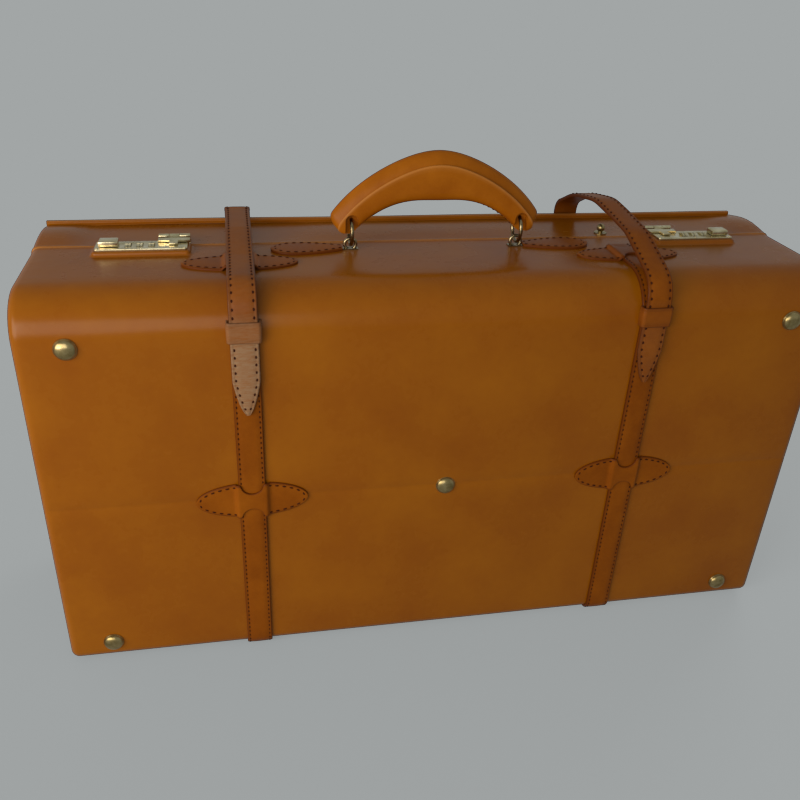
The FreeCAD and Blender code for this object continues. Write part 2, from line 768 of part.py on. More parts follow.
def make_button(name, side):
    """The release button: a raised block on a stem through the plate."""
    x = button_place(side)
    low = LOCK_Z + PLATE_THICK + SLIDE_GAP
    half_x = BUTTON_LENGTH / 2
    half_y = BUTTON_WIDTH / 2
    cap = block(x - half_x, x + half_x, LOCK_Y - half_y, LOCK_Y + half_y, low, low + BUTTON_HEIGHT)
    crest = [e for e in cap.Edges if e.BoundBox.ZMin > low + BUTTON_HEIGHT / 2]
    cap = cap.makeChamfer(SLIDE_GAP * 3, crest)
    half = BUTTON_STEM / 2
    stem = block(x - half, x + half, LOCK_Y - half, LOCK_Y + half, TOP + SLIDE_GAP, low)
    save("lock_button_" + name, cap.fuse(stem).removeSplitter())


def hasp_span(side):
    """The hasp's lower and upper X, at the inner end of the lock."""
    inner = LOCK_OUTER_X - LOCK_LENGTH - HASP_INNER
    outer = inner + HASP_LENGTH
    return min(side * inner, side * outer), max(side * inner, side * outer)


def hasp_axis():
    return SEAM + HASP_AXIS_Y, LOCK_Z + CATCH_THICK + HASP_KNUCKLE_R


def make_hasp(name, side):
    """The hasp over the seam, and the plate on the lid that it hinges on."""
    low, high = hasp_span(side)
    y, z = hasp_axis()
    third = (high - low) / 3
    arm_z = LOCK_Z + PLATE_THICK + SLIDE_GAP
    arm = block(low + third + SLIDE_GAP, high - third - SLIDE_GAP, SEAM, y, arm_z, arm_z + HASP_THICK)
    head = block(low, high, SEAM - HASP_REACH / 2, SEAM, arm_z, arm_z + HASP_THICK)
    middle = (low + high) / 2
    half = HASP_STEM / 2
    tail = block(middle - half, middle + half, SEAM - HASP_REACH, SEAM, arm_z, arm_z + HASP_THICK)
    knuckle = rod(HASP_KNUCKLE_R, (low + third + SLIDE_GAP, y, z), (1, 0, 0), third - 2 * SLIDE_GAP)
    bore = rod(HASP_PIN_R + BORE_CLEAR, (low, y, z), (1, 0, 0), high - low)
    save("lock_hasp_" + name, arm.fuse([head, tail, knuckle]).cut(bore).removeSplitter())
    foot = block(low, high, y + HASP_KNUCKLE_R + SLIDE_GAP, y + CATCH_DEPTH, TOP, TOP + CATCH_THICK)
    ears = []
    for start in (low, high - third):
        ears.append(rod(HASP_KNUCKLE_R, (start, y, z), (1, 0, 0), third))
        ears.append(block(start, start + third, y - HASP_KNUCKLE_R, y + CATCH_DEPTH, TOP, TOP + CATCH_THICK))
        ears.append(block(start, start + third, y - HASP_KNUCKLE_R / 2, y + HASP_KNUCKLE_R / 2, TOP, z))
    pin_hole = rod(HASP_PIN_R, (low, y, z), (1, 0, 0), high - low)
    save("lock_catch_" + name, foot.fuse(ears).cut(pin_hole).removeSplitter())
    save("hasp_pin_" + name, pin_hole)


def make_locks():
    for name, side in SIDES.items():
        make_lock_bed(name, side)
        make_lock_case(name, side)
        save("dial_spindle_" + name, spindle(side, HOUSING_WALL))
        make_dials(name, side)
        make_button(name, side)
        make_hasp(name, side)


def hinge_leaf(x, hand):
    """One leaf with its knuckles: hand -1 is on the tray, with two knuckles, +1 on the lid, with one."""
    third = HINGE_LENGTH / 3
    start = x - HINGE_LENGTH / 2
    spans = [(start + third + SLIDE_GAP, third - 2 * SLIDE_GAP)] if hand > 0 else [(start, third), (start + 2 * third, third)]
    near = SEAM + hand * (HINGE_R + SLIDE_GAP)
    far = SEAM + hand * HINGE_LEAF
    plate = block(start, start + HINGE_LENGTH, min(near, far), max(near, far), BOTTOM - HINGE_THICK, BOTTOM)
    pieces = []
    for low, length in spans:
        pieces.append(rod(HINGE_R, (low, SEAM, BOTTOM), (1, 0, 0), length))
        pieces.append(block(low, low + length, min(SEAM, far), max(SEAM, far), BOTTOM - HINGE_THICK, BOTTOM))
    bore = HINGE_PIN_R + (BORE_CLEAR if hand > 0 else 0.0)
    return plate.fuse(pieces).cut(rod(bore, (start, SEAM, BOTTOM), (1, 0, 0), HINGE_LENGTH)).removeSplitter()


def make_hinges():
    centres = hinge_centres()
    save("hinge_tray_leaves", *[hinge_leaf(x, -1) for x in centres])
    save("hinge_lid_leaves", *[hinge_leaf(x, 1) for x in centres])
    half = HINGE_LENGTH / 2
    save("hinge_pins", *[rod(HINGE_PIN_R, (x - half, SEAM, BOTTOM), (1, 0, 0), HINGE_LENGTH) for x in centres])


os.makedirs("parts", exist_ok=True)
make_tray()
make_lid()
make_studs()
make_strap_studs()
make_under_straps()
make_loops()
make_keepers()
make_tongues()
make_back_straps()
make_handle()
make_eyes()
make_chapes()
make_locks()
make_hinges()
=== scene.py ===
import math

import bmesh
import bpy
from mathutils import Matrix, Quaternion, Vector


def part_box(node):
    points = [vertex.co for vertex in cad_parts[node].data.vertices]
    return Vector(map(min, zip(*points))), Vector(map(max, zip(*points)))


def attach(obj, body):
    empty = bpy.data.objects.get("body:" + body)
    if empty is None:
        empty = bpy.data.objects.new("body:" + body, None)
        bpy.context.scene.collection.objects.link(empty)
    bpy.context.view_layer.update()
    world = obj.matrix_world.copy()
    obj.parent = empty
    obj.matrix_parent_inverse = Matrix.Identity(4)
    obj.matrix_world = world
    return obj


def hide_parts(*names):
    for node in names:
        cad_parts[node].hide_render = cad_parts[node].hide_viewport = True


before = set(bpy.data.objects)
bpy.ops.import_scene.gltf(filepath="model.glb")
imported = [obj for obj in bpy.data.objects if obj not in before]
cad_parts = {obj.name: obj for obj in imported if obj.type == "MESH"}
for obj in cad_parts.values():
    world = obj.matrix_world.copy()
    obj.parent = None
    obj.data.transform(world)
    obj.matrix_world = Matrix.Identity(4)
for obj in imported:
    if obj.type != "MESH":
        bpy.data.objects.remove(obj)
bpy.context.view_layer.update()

# Tray cover: one hide of smooth, glazed leather glued over board.
# It runs from the seam over the rolled front edge, down the front and under the case.
MM = 0.001
ACROSS = Vector((1, 0, 0))
tray_low, tray_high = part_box("case_cover")
lid_low, lid_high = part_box("lid_cover")
CASE_HALF = tray_high.x / MM
FRONT = tray_low.y / MM
SEAM = (tray_high.y + lid_low.y) / 2 / MM
BACK = lid_high.y / MM
BOTTOM = tray_low.z / MM
TOP = tray_high.z / MM
MOUTH_GAP = 0.25
HIDE_THICK = 4.0
ROLL_R = 40.0
FOOT_R = 10.0
END_R = 8.0
END_DEGREES = 15
STRAP_X = 187.0
SCORE_Z = 188.0
SCORE_DEEP = 0.45
SCORE_WIDE = 0.8
PILLOW = 1.3
PILLOW_START = 55.0
PILLOW_RUN = 45.0
BEAD_HIGH = 0.55
BEAD_AT = 1.6
BEAD_WIDE = 1.3
TUCK_DEEP = 0.8
TUCK_WIDE = 0.6
RUB_SHEEN_WIDE = 1.8
LONG_STEP = 12
LONG_SPANS = 74
HEM_RUNGS = 30
ARC_DEGREES = 9
MOUTH_STEPS = [0.0, 0.8, 1.6, 2.4, 3.4]
MOUTH_RUN = 5.0
HEM = len(MOUTH_STEPS)


def rounded_run(corners, step):
    """Points along an open line through (point, radius) corners, no further apart than step."""
    marks = []
    for i, (here, radius) in enumerate(corners):
        if radius <= 0 or i in (0, len(corners) - 1):
            marks.append(here)
            continue
        back = (corners[i - 1][0] - here).normalized()
        ahead = (corners[i + 1][0] - here).normalized()
        half = back.angle(ahead) / 2
        start = here + back * (radius / math.tan(half))
        centre = here + (back + ahead).normalized() * (radius / math.sin(half))
        sweep = math.pi - 2 * half
        axis = (start - centre).cross(here - centre).normalized()
        count = max(3, math.ceil(sweep / math.radians(ARC_DEGREES)))
        for k in range(count + 1):
            marks.append(centre + Quaternion(axis, sweep * k / count) @ (start - centre))
    points = [marks[0]]
    for mark in marks[1:]:
        gap = (mark - points[-1]).length
        if gap < 1e-6:
            continue
        pieces = max(1, math.ceil(gap / step - 1e-6))
        begin = points[-1].copy()
        points += [begin.lerp(mark, (k + 1) / pieces) for k in range(pieces)]
    return points


def bent_path(x, step, corners):
    """A line across the case at one x, from (depth, height, radius) corners."""
    return rounded_run([(Vector((x, y, z)), radius) for y, z, radius in corners], step)


def headings(points):
    """The direction of travel at each point of a line."""
    last = len(points) - 1
    return [(points[min(i + 1, last)] - points[max(i - 1, 0)]).normalized() for i in range(last + 1)]


def link_new(name, data):
    """A new object at the origin, in the scene."""
    piece = bpy.data.objects.new(name, data)
    bpy.context.collection.objects.link(piece)
    return piece


def shade_smooth(mesh, degrees):
    """Smooth shading, with edges left sharp beyond an angle."""
    for polygon in mesh.polygons:
        polygon.use_smooth = True
    mesh.set_sharp_from_angle(angle=math.radians(degrees))


def new_piece(name, verts, faces, smooth_degrees):
    """A mesh object at the origin from millimetre points, smooth up to an angle."""
    mesh = bpy.data.meshes.new(name)
    mesh.from_pydata([v * MM for v in verts], [], faces)
    mesh.validate()
    shade_smooth(mesh, smooth_degrees)
    return link_new(name, mesh)


def settle(piece):
    """Turns the modifiers' result into the piece's own plain mesh."""
    graph = bpy.context.evaluated_depsgraph_get()
    mesh = bpy.data.meshes.new_from_object(piece.evaluated_get(graph))
    piece.modifiers.clear()
    piece.data = mesh
    return piece


def face_outward(piece, is_open=False):
    """Turns all the faces of a piece outward: an open shell is judged by its outermost end."""
    shape = bmesh.new()
    shape.from_mesh(piece.data)
    bmesh.ops.recalc_face_normals(shape, faces=shape.faces)
    if is_open:
        end = max(shape.faces, key=lambda face: abs(face.calc_center_median().x))
        if end.normal.x * end.calc_center_median().x < 0:
            bmesh.ops.reverse_faces(shape, faces=shape.faces)
    shape.to_mesh(piece.data)
    shape.free()


def keep_shares(piece, name, shares):
    """Keeps a share for each point of a piece, which its material reads."""
    piece.data.attributes.new(name, "FLOAT", "POINT").data.foreach_set("value", shares)


def mouth_bead(gap):
    """The turned edge at the mouth stands a little proud, and its lip is tucked in."""
    proud = BEAD_HIGH * math.exp(-((gap - BEAD_AT) / BEAD_WIDE) ** 2)
    return proud - TUCK_DEEP * math.exp(-(gap / TUCK_WIDE) ** 2)


def case_skin(name, profile, half, end_r, thick, swell, hem):
    """The skin of one half of the case: a profile run from end to end, rounded into two flat ends."""
    across = [math.radians(d) for d in range(0, 91, END_DEGREES)]
    middle = [(half - end_r) * (2 * k / LONG_SPANS - 1) for k in range(1, LONG_SPANS)]
    stations = [(-1, -(half - end_r), a) for a in reversed(across)]
    stations += [(0, x, 0.0) for x in middle]
    stations += [(1, half - end_r, a) for a in across]
    outward = [ACROSS.cross(t) for t in headings(profile)]
    mouth_y = profile[0].y
    verts = []
    for side, x, a in stations:
        for p, n in zip(profile, outward):
            rise = swell(x, p, n)
            bead = mouth_bead(abs(p.y - mouth_y)) if hem else 0.0
            reach = x + side * (end_r + bead) * math.sin(a)
            verts.append(ACROSS * reach + p + n * (rise * math.cos(a) - end_r * (1 - math.cos(a))))
    wide = len(profile)
    faces = []
    for i in range(len(stations) - 1):
        for j in range(wide - 1):
            a = i * wide + j
            faces.append((a, a + wide, a + wide + 1, a + 1))
    # Each flat end has a narrow hem along the mouth, and one plain panel beyond it.
    for first in (0, (len(stations) - 1) * wide):
        lines = []
        for j in range(hem + 1):
            low = first + j
            high = first + wide - 1 - j
            line = [low]
            for k in range(1, HEM_RUNGS):
                verts.append(verts[low].lerp(verts[high], k / HEM_RUNGS))
                line.append(len(verts) - 1)
            lines.append(line + [high])
        panel = list(range(first + hem, first + wide - hem)) + lines[-1][-2:0:-1]
        quads = [(lines[j][k], lines[j][k + 1], lines[j + 1][k + 1], lines[j + 1][k])
                 for j in range(hem) for k in range(HEM_RUNGS)]
        faces += [tuple(panel)] + quads
    piece = new_piece(name, verts, faces, 50)
    face_outward(piece, is_open=True)
    # A share at the mouth edge: the case hide paints it paler, rubbing with a painted highlight.
    keep_shares(piece, "rim", [math.exp(-(abs(v.y - mouth_y) / RUB_SHEEN_WIDE) ** 2) for v in verts])
    wall = piece.modifiers.new("hide", "SOLIDIFY")
    wall.thickness = thick * MM
    wall.offset = -1
    return settle(piece)


def between_straps(x):
    """0 under the straps, 1 well away from them."""
    return 1 - math.exp(-(max(0.0, abs(abs(x) - STRAP_X) - PILLOW_START) / PILLOW_RUN) ** 2)


def tray_swell(x, p, n):
    """The front pillows softly between the straps, with one pressed score line across it."""
    rise = mouth_bead(SEAM - MOUTH_GAP - p.y)
    if p.y < FRONT + 1:
        height = (p.z - BOTTOM) / (TOP - BOTTOM)
        rise += PILLOW * between_straps(x) * (4 * height * (1 - height)) * (1 - (x / CASE_HALF) ** 4)
        rise -= SCORE_DEEP * math.exp(-((p.z - SCORE_Z) / SCORE_WIDE) ** 2)
    return rise


near_mouth = SEAM - MOUTH_GAP
tray_run = bent_path(0, LONG_STEP, [
    (near_mouth - MOUTH_RUN, BOTTOM, 0),
    (FRONT, BOTTOM, FOOT_R),
    (FRONT, SCORE_Z - 2 * SCORE_WIDE, 0),
    (FRONT, SCORE_Z, 0),
    (FRONT, SCORE_Z + 2 * SCORE_WIDE, 0),
    (FRONT, TOP, ROLL_R),
    (near_mouth - MOUTH_RUN, TOP, 0),
])
tray_profile = [Vector((0, near_mouth - d, BOTTOM)) for d in MOUTH_STEPS] + tray_run
tray_profile += [Vector((0, near_mouth - d, TOP)) for d in reversed(MOUTH_STEPS)]
tray = case_skin("tray_leather", tray_profile, CASE_HALF, END_R, HIDE_THICK, tray_swell, HEM)


def cut_away(piece, shape, name):
    """Cuts a closed shape out of a piece."""
    mesh = bpy.data.meshes.new(name)
    shape.to_mesh(mesh)
    shape.free()
    cutter = link_new(name, mesh)
    cut = piece.modifiers.new(name, "BOOLEAN")
    cut.operation = "DIFFERENCE"
    cut.solver = "EXACT"
    cut.object = cutter
    settle(piece)
    bpy.data.objects.remove(cutter)


def open_wells(piece, boxes):
    """Cuts box-shaped openings, given as lowest and highest corners in millimetres."""
    shape = bmesh.new()
    for low, high in boxes:
        made = bmesh.ops.create_cube(shape, size=1.0)
        place = Matrix.Translation((low + high) / 2 * MM) @ Matrix.Diagonal((*((high - low) * MM), 1))
        bmesh.ops.transform(shape, matrix=place, verts=made["verts"])
    cut_away(piece, shape, "well_cutter")


# Wells: openings through the tray's hide under each lock.
# The dials hang in them and turn freely.
SIDES = {"left": -1, "right": 1}
DIALS = ("1", "2", "3")
WELL_MARGIN = Vector((2.4, 2.4, 9.6))
wells = {}
for hand in SIDES:
    low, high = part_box("lock_dial_" + hand + "_1")
    far_low, far_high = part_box("lock_dial_" + hand + "_3")
    corner_low = Vector(map(min, low, far_low)) / MM - WELL_MARGIN
    corner_high = Vector(map(max, high, far_high)) / MM + WELL_MARGIN
    wells[hand] = (corner_low, corner_high)
open_wells(tray, wells.values())


def hex_linear(code):
    """An sRGB hex colour as linear RGBA."""
    channels = [int(code[i:i + 2], 16) / 255 for i in (1, 3, 5)]
    linear = [c / 12.92 if c <= 0.04045 else ((c + 0.055) / 1.055) ** 2.4 for c in channels]
    return (*linear, 1.0)


def feed(tree, node, feeds):
    """Gives a node its values and links."""
    for key, value in feeds.items():
        if isinstance(value, bpy.types.NodeSocket):
            tree.links.new(value, node.inputs[key])
        else:
            node.inputs[key].default_value = value


def put(tree, kind, settings, feeds):
    """Adds a node with its settings, values and links."""
    node = tree.nodes.new(kind)
    for key, value in settings.items():
        setattr(node, key, value)
    feed(tree, node, feeds)
    return node


def new_material(name):
    """A material with its node tree and its shader."""
    material = bpy.data.materials.new(name)
    material.use_nodes = True
    return material, material.node_tree, material.node_tree.nodes["Principled BSDF"]


def object_coords(tree):
    """The place of each point on its object."""
    return put(tree, "ShaderNodeTexCoord", {}, {}).outputs["Object"]


def clouds(tree, coords, size_mm, detail, roughness=0.5):
    """Noise whose clouds have a size in millimetres."""
    noise = put(tree, "ShaderNodeTexNoise", {}, {
        "Vector": coords, "Scale": 1 / (size_mm * MM), "Detail": detail, "Roughness": roughness})
    return noise.outputs["Fac"]


def remap(tree, value, low, high, to_low=0.0, to_high=1.0):
    """A value stretched from one span to another."""
    return put(tree, "ShaderNodeMapRange", {}, {
        "Value": value, "From Min": low, "From Max": high, "To Min": to_low, "To Max": to_high}).outputs[0]


def blend(tree, share, first, second):
    """A colour that goes from the first to the second by a share: hex codes or sockets."""
    ends = [hex_linear(c) if isinstance(c, str) else c for c in (first, second)]
    return put(tree, "ShaderNodeMix", {"data_type": "RGBA"}, {0: share, 6: ends[0], 7: ends[1]}).outputs[2]


def bump(tree, height, strength, depth_mm, under=None):
    """A normal raised by a height, over another normal where one is given."""
    raised = put(tree, "ShaderNodeBump", {}, {
        "Height": height, "Strength": strength, "Distance": depth_mm * MM})
    if under is not None:
        feed(tree, raised, {"Normal": under})
    return raised.outputs[0]


def calculate(tree, operation, *values):
    """The result of one sum on values or sockets."""
    return put(tree, "ShaderNodeMath", {"operation": operation}, dict(enumerate(values))).outputs[0]


SPECK_SIZE = 0.08
SPECK_SHARE = 0.2
ROUGH_SPREAD = 0.07
WAVE_MM = 26


def tanned_leather(name, pale, deep, mottle_mm, grain_mm, grain_depth_mm, rough, coat):
    """Smooth drum-dyed leather: cloudy dye, fine pores, and a waxed glaze on top."""
    material, tree, shader = new_material(name)
    coords = object_coords(tree)
    cloud = clouds(tree, coords, mottle_mm, 5.0, 0.55)
    speck = clouds(tree, coords, mottle_mm * SPECK_SIZE, 3.0, 0.6)
    dye = calculate(tree, "MULTIPLY_ADD", speck, SPECK_SHARE, cloud)
    pores = put(tree, "ShaderNodeTexVoronoi", {"feature": "SMOOTH_F1"}, {
        "Vector": coords, "Scale": 1 / (grain_mm * MM), "Smoothness": 0.6})
    fine = bump(tree, pores.outputs["Distance"], 0.35, grain_depth_mm)
    soft = bump(tree, clouds(tree, coords, WAVE_MM, 2.0), 0.5, 0.8, fine)
    feed(tree, shader, {
        "Base Color": blend(tree, remap(tree, dye, 0.36, 0.86), deep, pale),
        "Roughness": remap(tree, dye, 0.4, 0.95, rough - ROUGH_SPREAD, rough + ROUGH_SPREAD),
        "Normal": soft, "IOR": 1.5, "Specular IOR Level": 0.07,
        "Coat Weight": coat, "Coat Roughness": 0.22})
    return material


def rub_edges(material, colour, strength):
    """Changes the dye where the rim attribute is high: darker for burnished strap edges, paler for rubbed
    case and handle edges with a painted highlight.
    """
    tree = material.node_tree
    shader = tree.nodes["Principled BSDF"]
    edge = put(tree, "ShaderNodeAttribute", {"attribute_name": "rim"}, {})
    worn_and_sheen = calculate(tree, "MULTIPLY", edge.outputs["Fac"], strength)
    dyed = shader.inputs["Base Color"].links[0].from_socket
    feed(tree, shader, {"Base Color": blend(tree, worn_and_sheen, dyed, colour)})


# Glazed tan case hide: the dye is warm and slightly cloudy.
# The glaze gives the eye soft, wide highlights.
case_hide = tanned_leather("glazed_tan_hide", "#9C5D0A", "#8A4B06", 90, 1.1, 0.035, 0.30, 0.22)
# The turned mouth edges are painted paler: rubbing with a painted highlight.
rub_edges(case_hide, "#C98A48", 0.5)
tray.data.materials.append(case_hide)
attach(tray, "case")
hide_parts("case_cover")

# Lid cover: the same hide over the shallow rear half, a little puffed between its fittings.
# Its mouth meets the tray's at the seam, where both turned edges are painted paler: partly rubbing, partly a
# painted highlight.
BACK_R = 7.0
LID_END_R = 6.0
END_SWELL = 5.0
END_SWELL_X = 338.0
END_SWELL_RUN = 6.0
MIDDLE_SWELL = 2.0
MIDDLE_SWELL_X = 120.0
MIDDLE_SWELL_RUN = 12.0
FACES_UP = 0.7


def lid_swell(x, p, n):
    """The lid's top swells at its two ends and in the middle, between the seam and the rim."""
    rise = mouth_bead(p.y - SEAM - MOUTH_GAP)
    if n.z > FACES_UP:
        run = (p.y - SEAM) / (BACK - BACK_R - SEAM)
        arch = max(0.0, math.sin(math.pi * min(1.0, max(0.0, run))))
        ends = 1 / (1 + math.exp(-(abs(x) - END_SWELL_X) / END_SWELL_RUN))
        middle = 1 / (1 + math.exp((abs(x) - MIDDLE_SWELL_X) / MIDDLE_SWELL_RUN))
        rise += arch * (END_SWELL * ends + MIDDLE_SWELL * middle)
    return rise


lid_mouth = SEAM + MOUTH_GAP
lid_run = bent_path(0, LONG_STEP, [
    (lid_mouth + MOUTH_RUN, TOP, 0),
    (BACK, TOP, BACK_R),
    (BACK, BOTTOM, BACK_R),
    (lid_mouth + MOUTH_RUN, BOTTOM, 0),
])
lid_profile = [Vector((0, lid_mouth + d, TOP)) for d in MOUTH_STEPS] + lid_run
lid_profile += [Vector((0, lid_mouth + d, BOTTOM)) for d in reversed(MOUTH_STEPS)]
lid = case_skin("lid_leather", lid_profile, CASE_HALF, LID_END_R, HIDE_THICK, lid_swell, HEM)
lid.data.materials.append(case_hide)
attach(lid, "lid")
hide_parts("lid_cover")

# Board, linings and the lip: glued millboard carries the hide, and a cotton twill lines it.
# The lip is a thin frame in the tray's mouth that lines up the lid.
millboard, tree, shader = new_material("grey_millboard")
flecks = clouds(tree, object_coords(tree), 2.5, 6.0)
feed(tree, shader, {
    "Base Color": blend(tree, flecks, "#7A6A55", "#A5927A"),
    "Normal": bump(tree, flecks, 0.3, 0.2), "Roughness": 0.85})

# Twill: a plain cotton cloth with diagonal ribs about 1.2 mm apart.
# They are drawn twice as coarse, so that they show.
RIB_MM = 2.4
WAVE_PERIOD = 0.314
twill, tree, shader = new_material("cotton_twill")
coords = object_coords(tree)
ribs = put(tree, "ShaderNodeTexWave", {"bands_direction": "DIAGONAL"}, {
    "Vector": coords, "Scale": WAVE_PERIOD / (RIB_MM * MM), "Distortion": 0.6, "Detail": 2.0}).outputs["Fac"]
slubs = clouds(tree, coords, 18, 4.0)
feed(tree, shader, {
    "Base Color": blend(tree, calculate(tree, "MULTIPLY_ADD", ribs, 0.45, slubs), "#8F7A58", "#BFA980"),
    "Normal": bump(tree, ribs, 0.5, 0.3), "Roughness": 0.9, "Sheen Weight": 0.15})


def finish_node(name, material):
    """Gives a carried-over solid its material."""
    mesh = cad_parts[name].data
    mesh.materials.clear()
    mesh.materials.append(material)


for name in ("tray_board", "lid_board"):
    finish_node(name, millboard)
finish_node("tray_lip", twill)
LINED = 8.0
CLOTH = 1.0
CLOTH_R = 6.0
CLOTH_END_R = 4.0
CLOTH_SHORT = 1.0
PASTE_WAVE = 0.25


def glued_cloth(x, p, n):
    """Cloth pasted over board, with faint waves where the paste has pulled."""
    return PASTE_WAVE * (math.sin(x / 31 + p.z / 57) * math.sin(p.z / 43 - x / 71) - 1)


tray_bag = bent_path(0, LONG_STEP, [
    (near_mouth - CLOTH_SHORT, BOTTOM + LINED, 0),
    (FRONT + LINED, BOTTOM + LINED, CLOTH_R),
    (FRONT + LINED, TOP - LINED, ROLL_R - LINED),
    (near_mouth - CLOTH_SHORT, TOP - LINED, 0),
])
lid_bag = bent_path(0, LONG_STEP, [
    (lid_mouth + CLOTH_SHORT, TOP - LINED, 0),
    (BACK - LINED, TOP - LINED, CLOTH_R),
    (BACK - LINED, BOTTOM + LINED, CLOTH_R),
    (lid_mouth + CLOTH_SHORT, BOTTOM + LINED, 0),
])
for name, bag, body in (("tray_lining", tray_bag, "case"), ("lid_lining", lid_bag, "lid")):
    cloth = case_skin(name + "_cloth", bag, CASE_HALF - LINED, CLOTH_END_R, CLOTH, glued_cloth, 0)
    cloth.data.materials.append(twill)
    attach(cloth, body)
    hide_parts(name)

# Rear rim: a thick leather welt sewn along the rear top edge of the lid.
# Its cut edges are painted paler, partly burnished and partly a painted highlight, and it stops short of the
# lid's rounded ends.
UPWARD = Vector((0, 0, 1))
EDGE_SHARE = 0.22
BAND_RING = 16
BAND_CROWN = 0.25
BAND_LIP = 0.05
FULL_WIDE = 14.0
STRAP_GROOVE = 0.3
RIM_SHIFT = (-5.0, -3.0)
RIM_WAVE = 0.25
RIM_WAVE_MM = 47


def tube_faces(rows, around):
    """Faces of a tube made of rings of points, closed at both ends."""
    last = (rows - 1) * around
    faces = [tuple(reversed(range(around))), tuple(range(last, last + around))]
    for i in range(rows - 1):
        for j in range(around):
            a = i * around + j
            b = i * around + (j + 1) % around
            faces.append((a, b, b + around, a + around))
    return faces


def leather_band(name, stations, thick, groove):
    """A flat strap from (centre, out, side, width) stations in millimetres, with an edge share: darker
    burnishing on strap leather, a paler painted highlight on case hide.
    """
    edge = thick * EDGE_SHARE
    top = thick / 2
    verts = []
    rims = []
    for centre, out, side, width in stations:
        half = width / 2
        tight = min(1.0, width / FULL_WIDE)
        # One half of the section, from the middle of the outer face: reach, height and edge share.
        flank = [
            (half * 0.4, top + BAND_CROWN, 0.0), (half - 3.4 * tight, top + BAND_LIP, 0.1),
            (half - 2.5 * tight, top - groove, 0.35), (half - 1.6 * tight, top + BAND_LIP, 0.25),
            (half - edge * tight, top, 0.7), (half, top - edge, 1.0),
            (half, -top + edge, 1.0), (half - edge * tight, -top, 0.6),
        ]
        section = [(-s, o, rim) for s, o, rim in reversed(flank)] + flank
        verts += [centre + side * s + out * o for s, o, rim in section]
        rims += [rim for s, o, rim in section]
    piece = new_piece(name, verts, tube_faces(len(stations), BAND_RING), 45)
    face_outward(piece)
    keep_shares(piece, "rim", rims)
    return piece


rim_low, rim_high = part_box("lid_rim")
rim_middle = (rim_low + rim_high) / 2 / MM
rim_wide = (rim_high.z - rim_low.z) / MM
rim_deep = (rim_high.y - rim_low.y) / MM
rim_points = rounded_run([
    (Vector((rim_low.x / MM + RIM_SHIFT[0], rim_middle.y, rim_middle.z)), 0),
    (Vector((rim_high.x / MM + RIM_SHIFT[1], rim_middle.y, rim_middle.z)), 0),
], LONG_STEP)
welt = leather_band("rear_rim_welt", [
    (p + UPWARD * (RIM_WAVE * math.sin(p.x / RIM_WAVE_MM)), Vector((0, -1, 0)), UPWARD, rim_wide)
    for p in rim_points], rim_deep, STRAP_GROOVE)
# The case hide paints the welt's edges paler: burnishing with a painted highlight.
welt.data.materials.append(case_hide)
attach(welt, "lid")
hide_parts("lid_rim")

# Strap leather: bridle butt, warmer than the case, darker at its burnished cut edges.
# A second attribute marks where the strap is painted paler: rubbing has cracked the glaze down to the pale
# hide, and a painted sheen lies over it.
strap_hide = tanned_leather("bridle_strap_leather", "#96530C", "#7C3F07", 40, 0.9, 0.10, 0.40, 0.02)
rub_edges(strap_hide, "#5E2C0A", 1.0)
tree = strap_hide.node_tree
shader = tree.nodes["Principled BSDF"]
# Paler where the hide is worn, with a painted sheen over it, broken up by crazed cracks.
chafed_and_sheen = put(tree, "ShaderNodeAttribute", {"attribute_name": "worn_and_sheen"}, {}).outputs["Fac"]
stretch = put(tree, "ShaderNodeMapping", {}, {"Vector": object_coords(tree), "Scale": (1.0, 1.0, 5.0)})
crazed = remap(tree, clouds(tree, stretch.outputs[0], 7, 4.0, 0.65), 0.3, 0.62, 0.45, 1.0)
burnt = shader.inputs["Base Color"].links[0].from_socket
bared_and_sheen = calculate(tree, "MULTIPLY", chafed_and_sheen, crazed)
feed(tree, shader, {"Base Color": blend(tree, bared_and_sheen, burnt, "#97785A")})


def chafe(piece, wear):
    """Marks a band as worn and painted with a pale sheen, by a share for each of its stations."""
    keep_shares(piece, "worn_and_sheen", [share for share in wear for k in range(BAND_RING)])


# Fixed straps: doubled strap leather sewn along both edges, down the front and under the tray.
# The left one lies at the same distance from the middle as the right one.
STRAP_WIDE = 25.0
STRAP_THICK = 3.0
STRAP_STEP = 8
PLY_GAP = 0.3
STRAP_FROM_SEAM = 32.0
HINGE_SWEEP = 4.5
SEW_INSET = 2.5
SEW_LEAST = 0.6
THREAD_SUNK = 0.05
level = STRAP_THICK / 2
stitch_lines = {(body, kind): [] for body in ("case", "lid") for kind in ("strap", "oval")}


def edge_lines(stations, thick, inset):
    """The two sewing lines on a band's outer face, an inset in from each edge."""
    return [[c + side * (hand * max(SEW_LEAST, w / 2 - inset)) + out * (thick / 2 - THREAD_SUNK)
             for c, out, side, w in stations] for hand in (-1, 1)]


for hand, side in SIDES.items():
    x = side * STRAP_X
    run = bent_path(x, STRAP_STEP, [
        (SEAM - HINGE_SWEEP, BOTTOM - level, 0),
        (FRONT - level, BOTTOM - level, FOOT_R + level),
        (FRONT - level, TOP + level, ROLL_R + level),
        (SEAM - STRAP_FROM_SEAM, TOP + level, 0),
    ])
    stations = [(p, ACROSS.cross(t), ACROSS, STRAP_WIDE) for p, t in zip(run, headings(run))]
    strap = leather_band("fixed_strap_" + hand, stations, STRAP_THICK, STRAP_GROOVE)
    strap.data.materials.append(strap_hide)
    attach(strap, "case")
    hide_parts("under_strap_" + hand)
    # The sewing stops short of the hinge, where the two straps meet when the lid is open.
    stitch_lines[("case", "strap")] += edge_lines(stations[1:], STRAP_THICK, SEW_INSET)

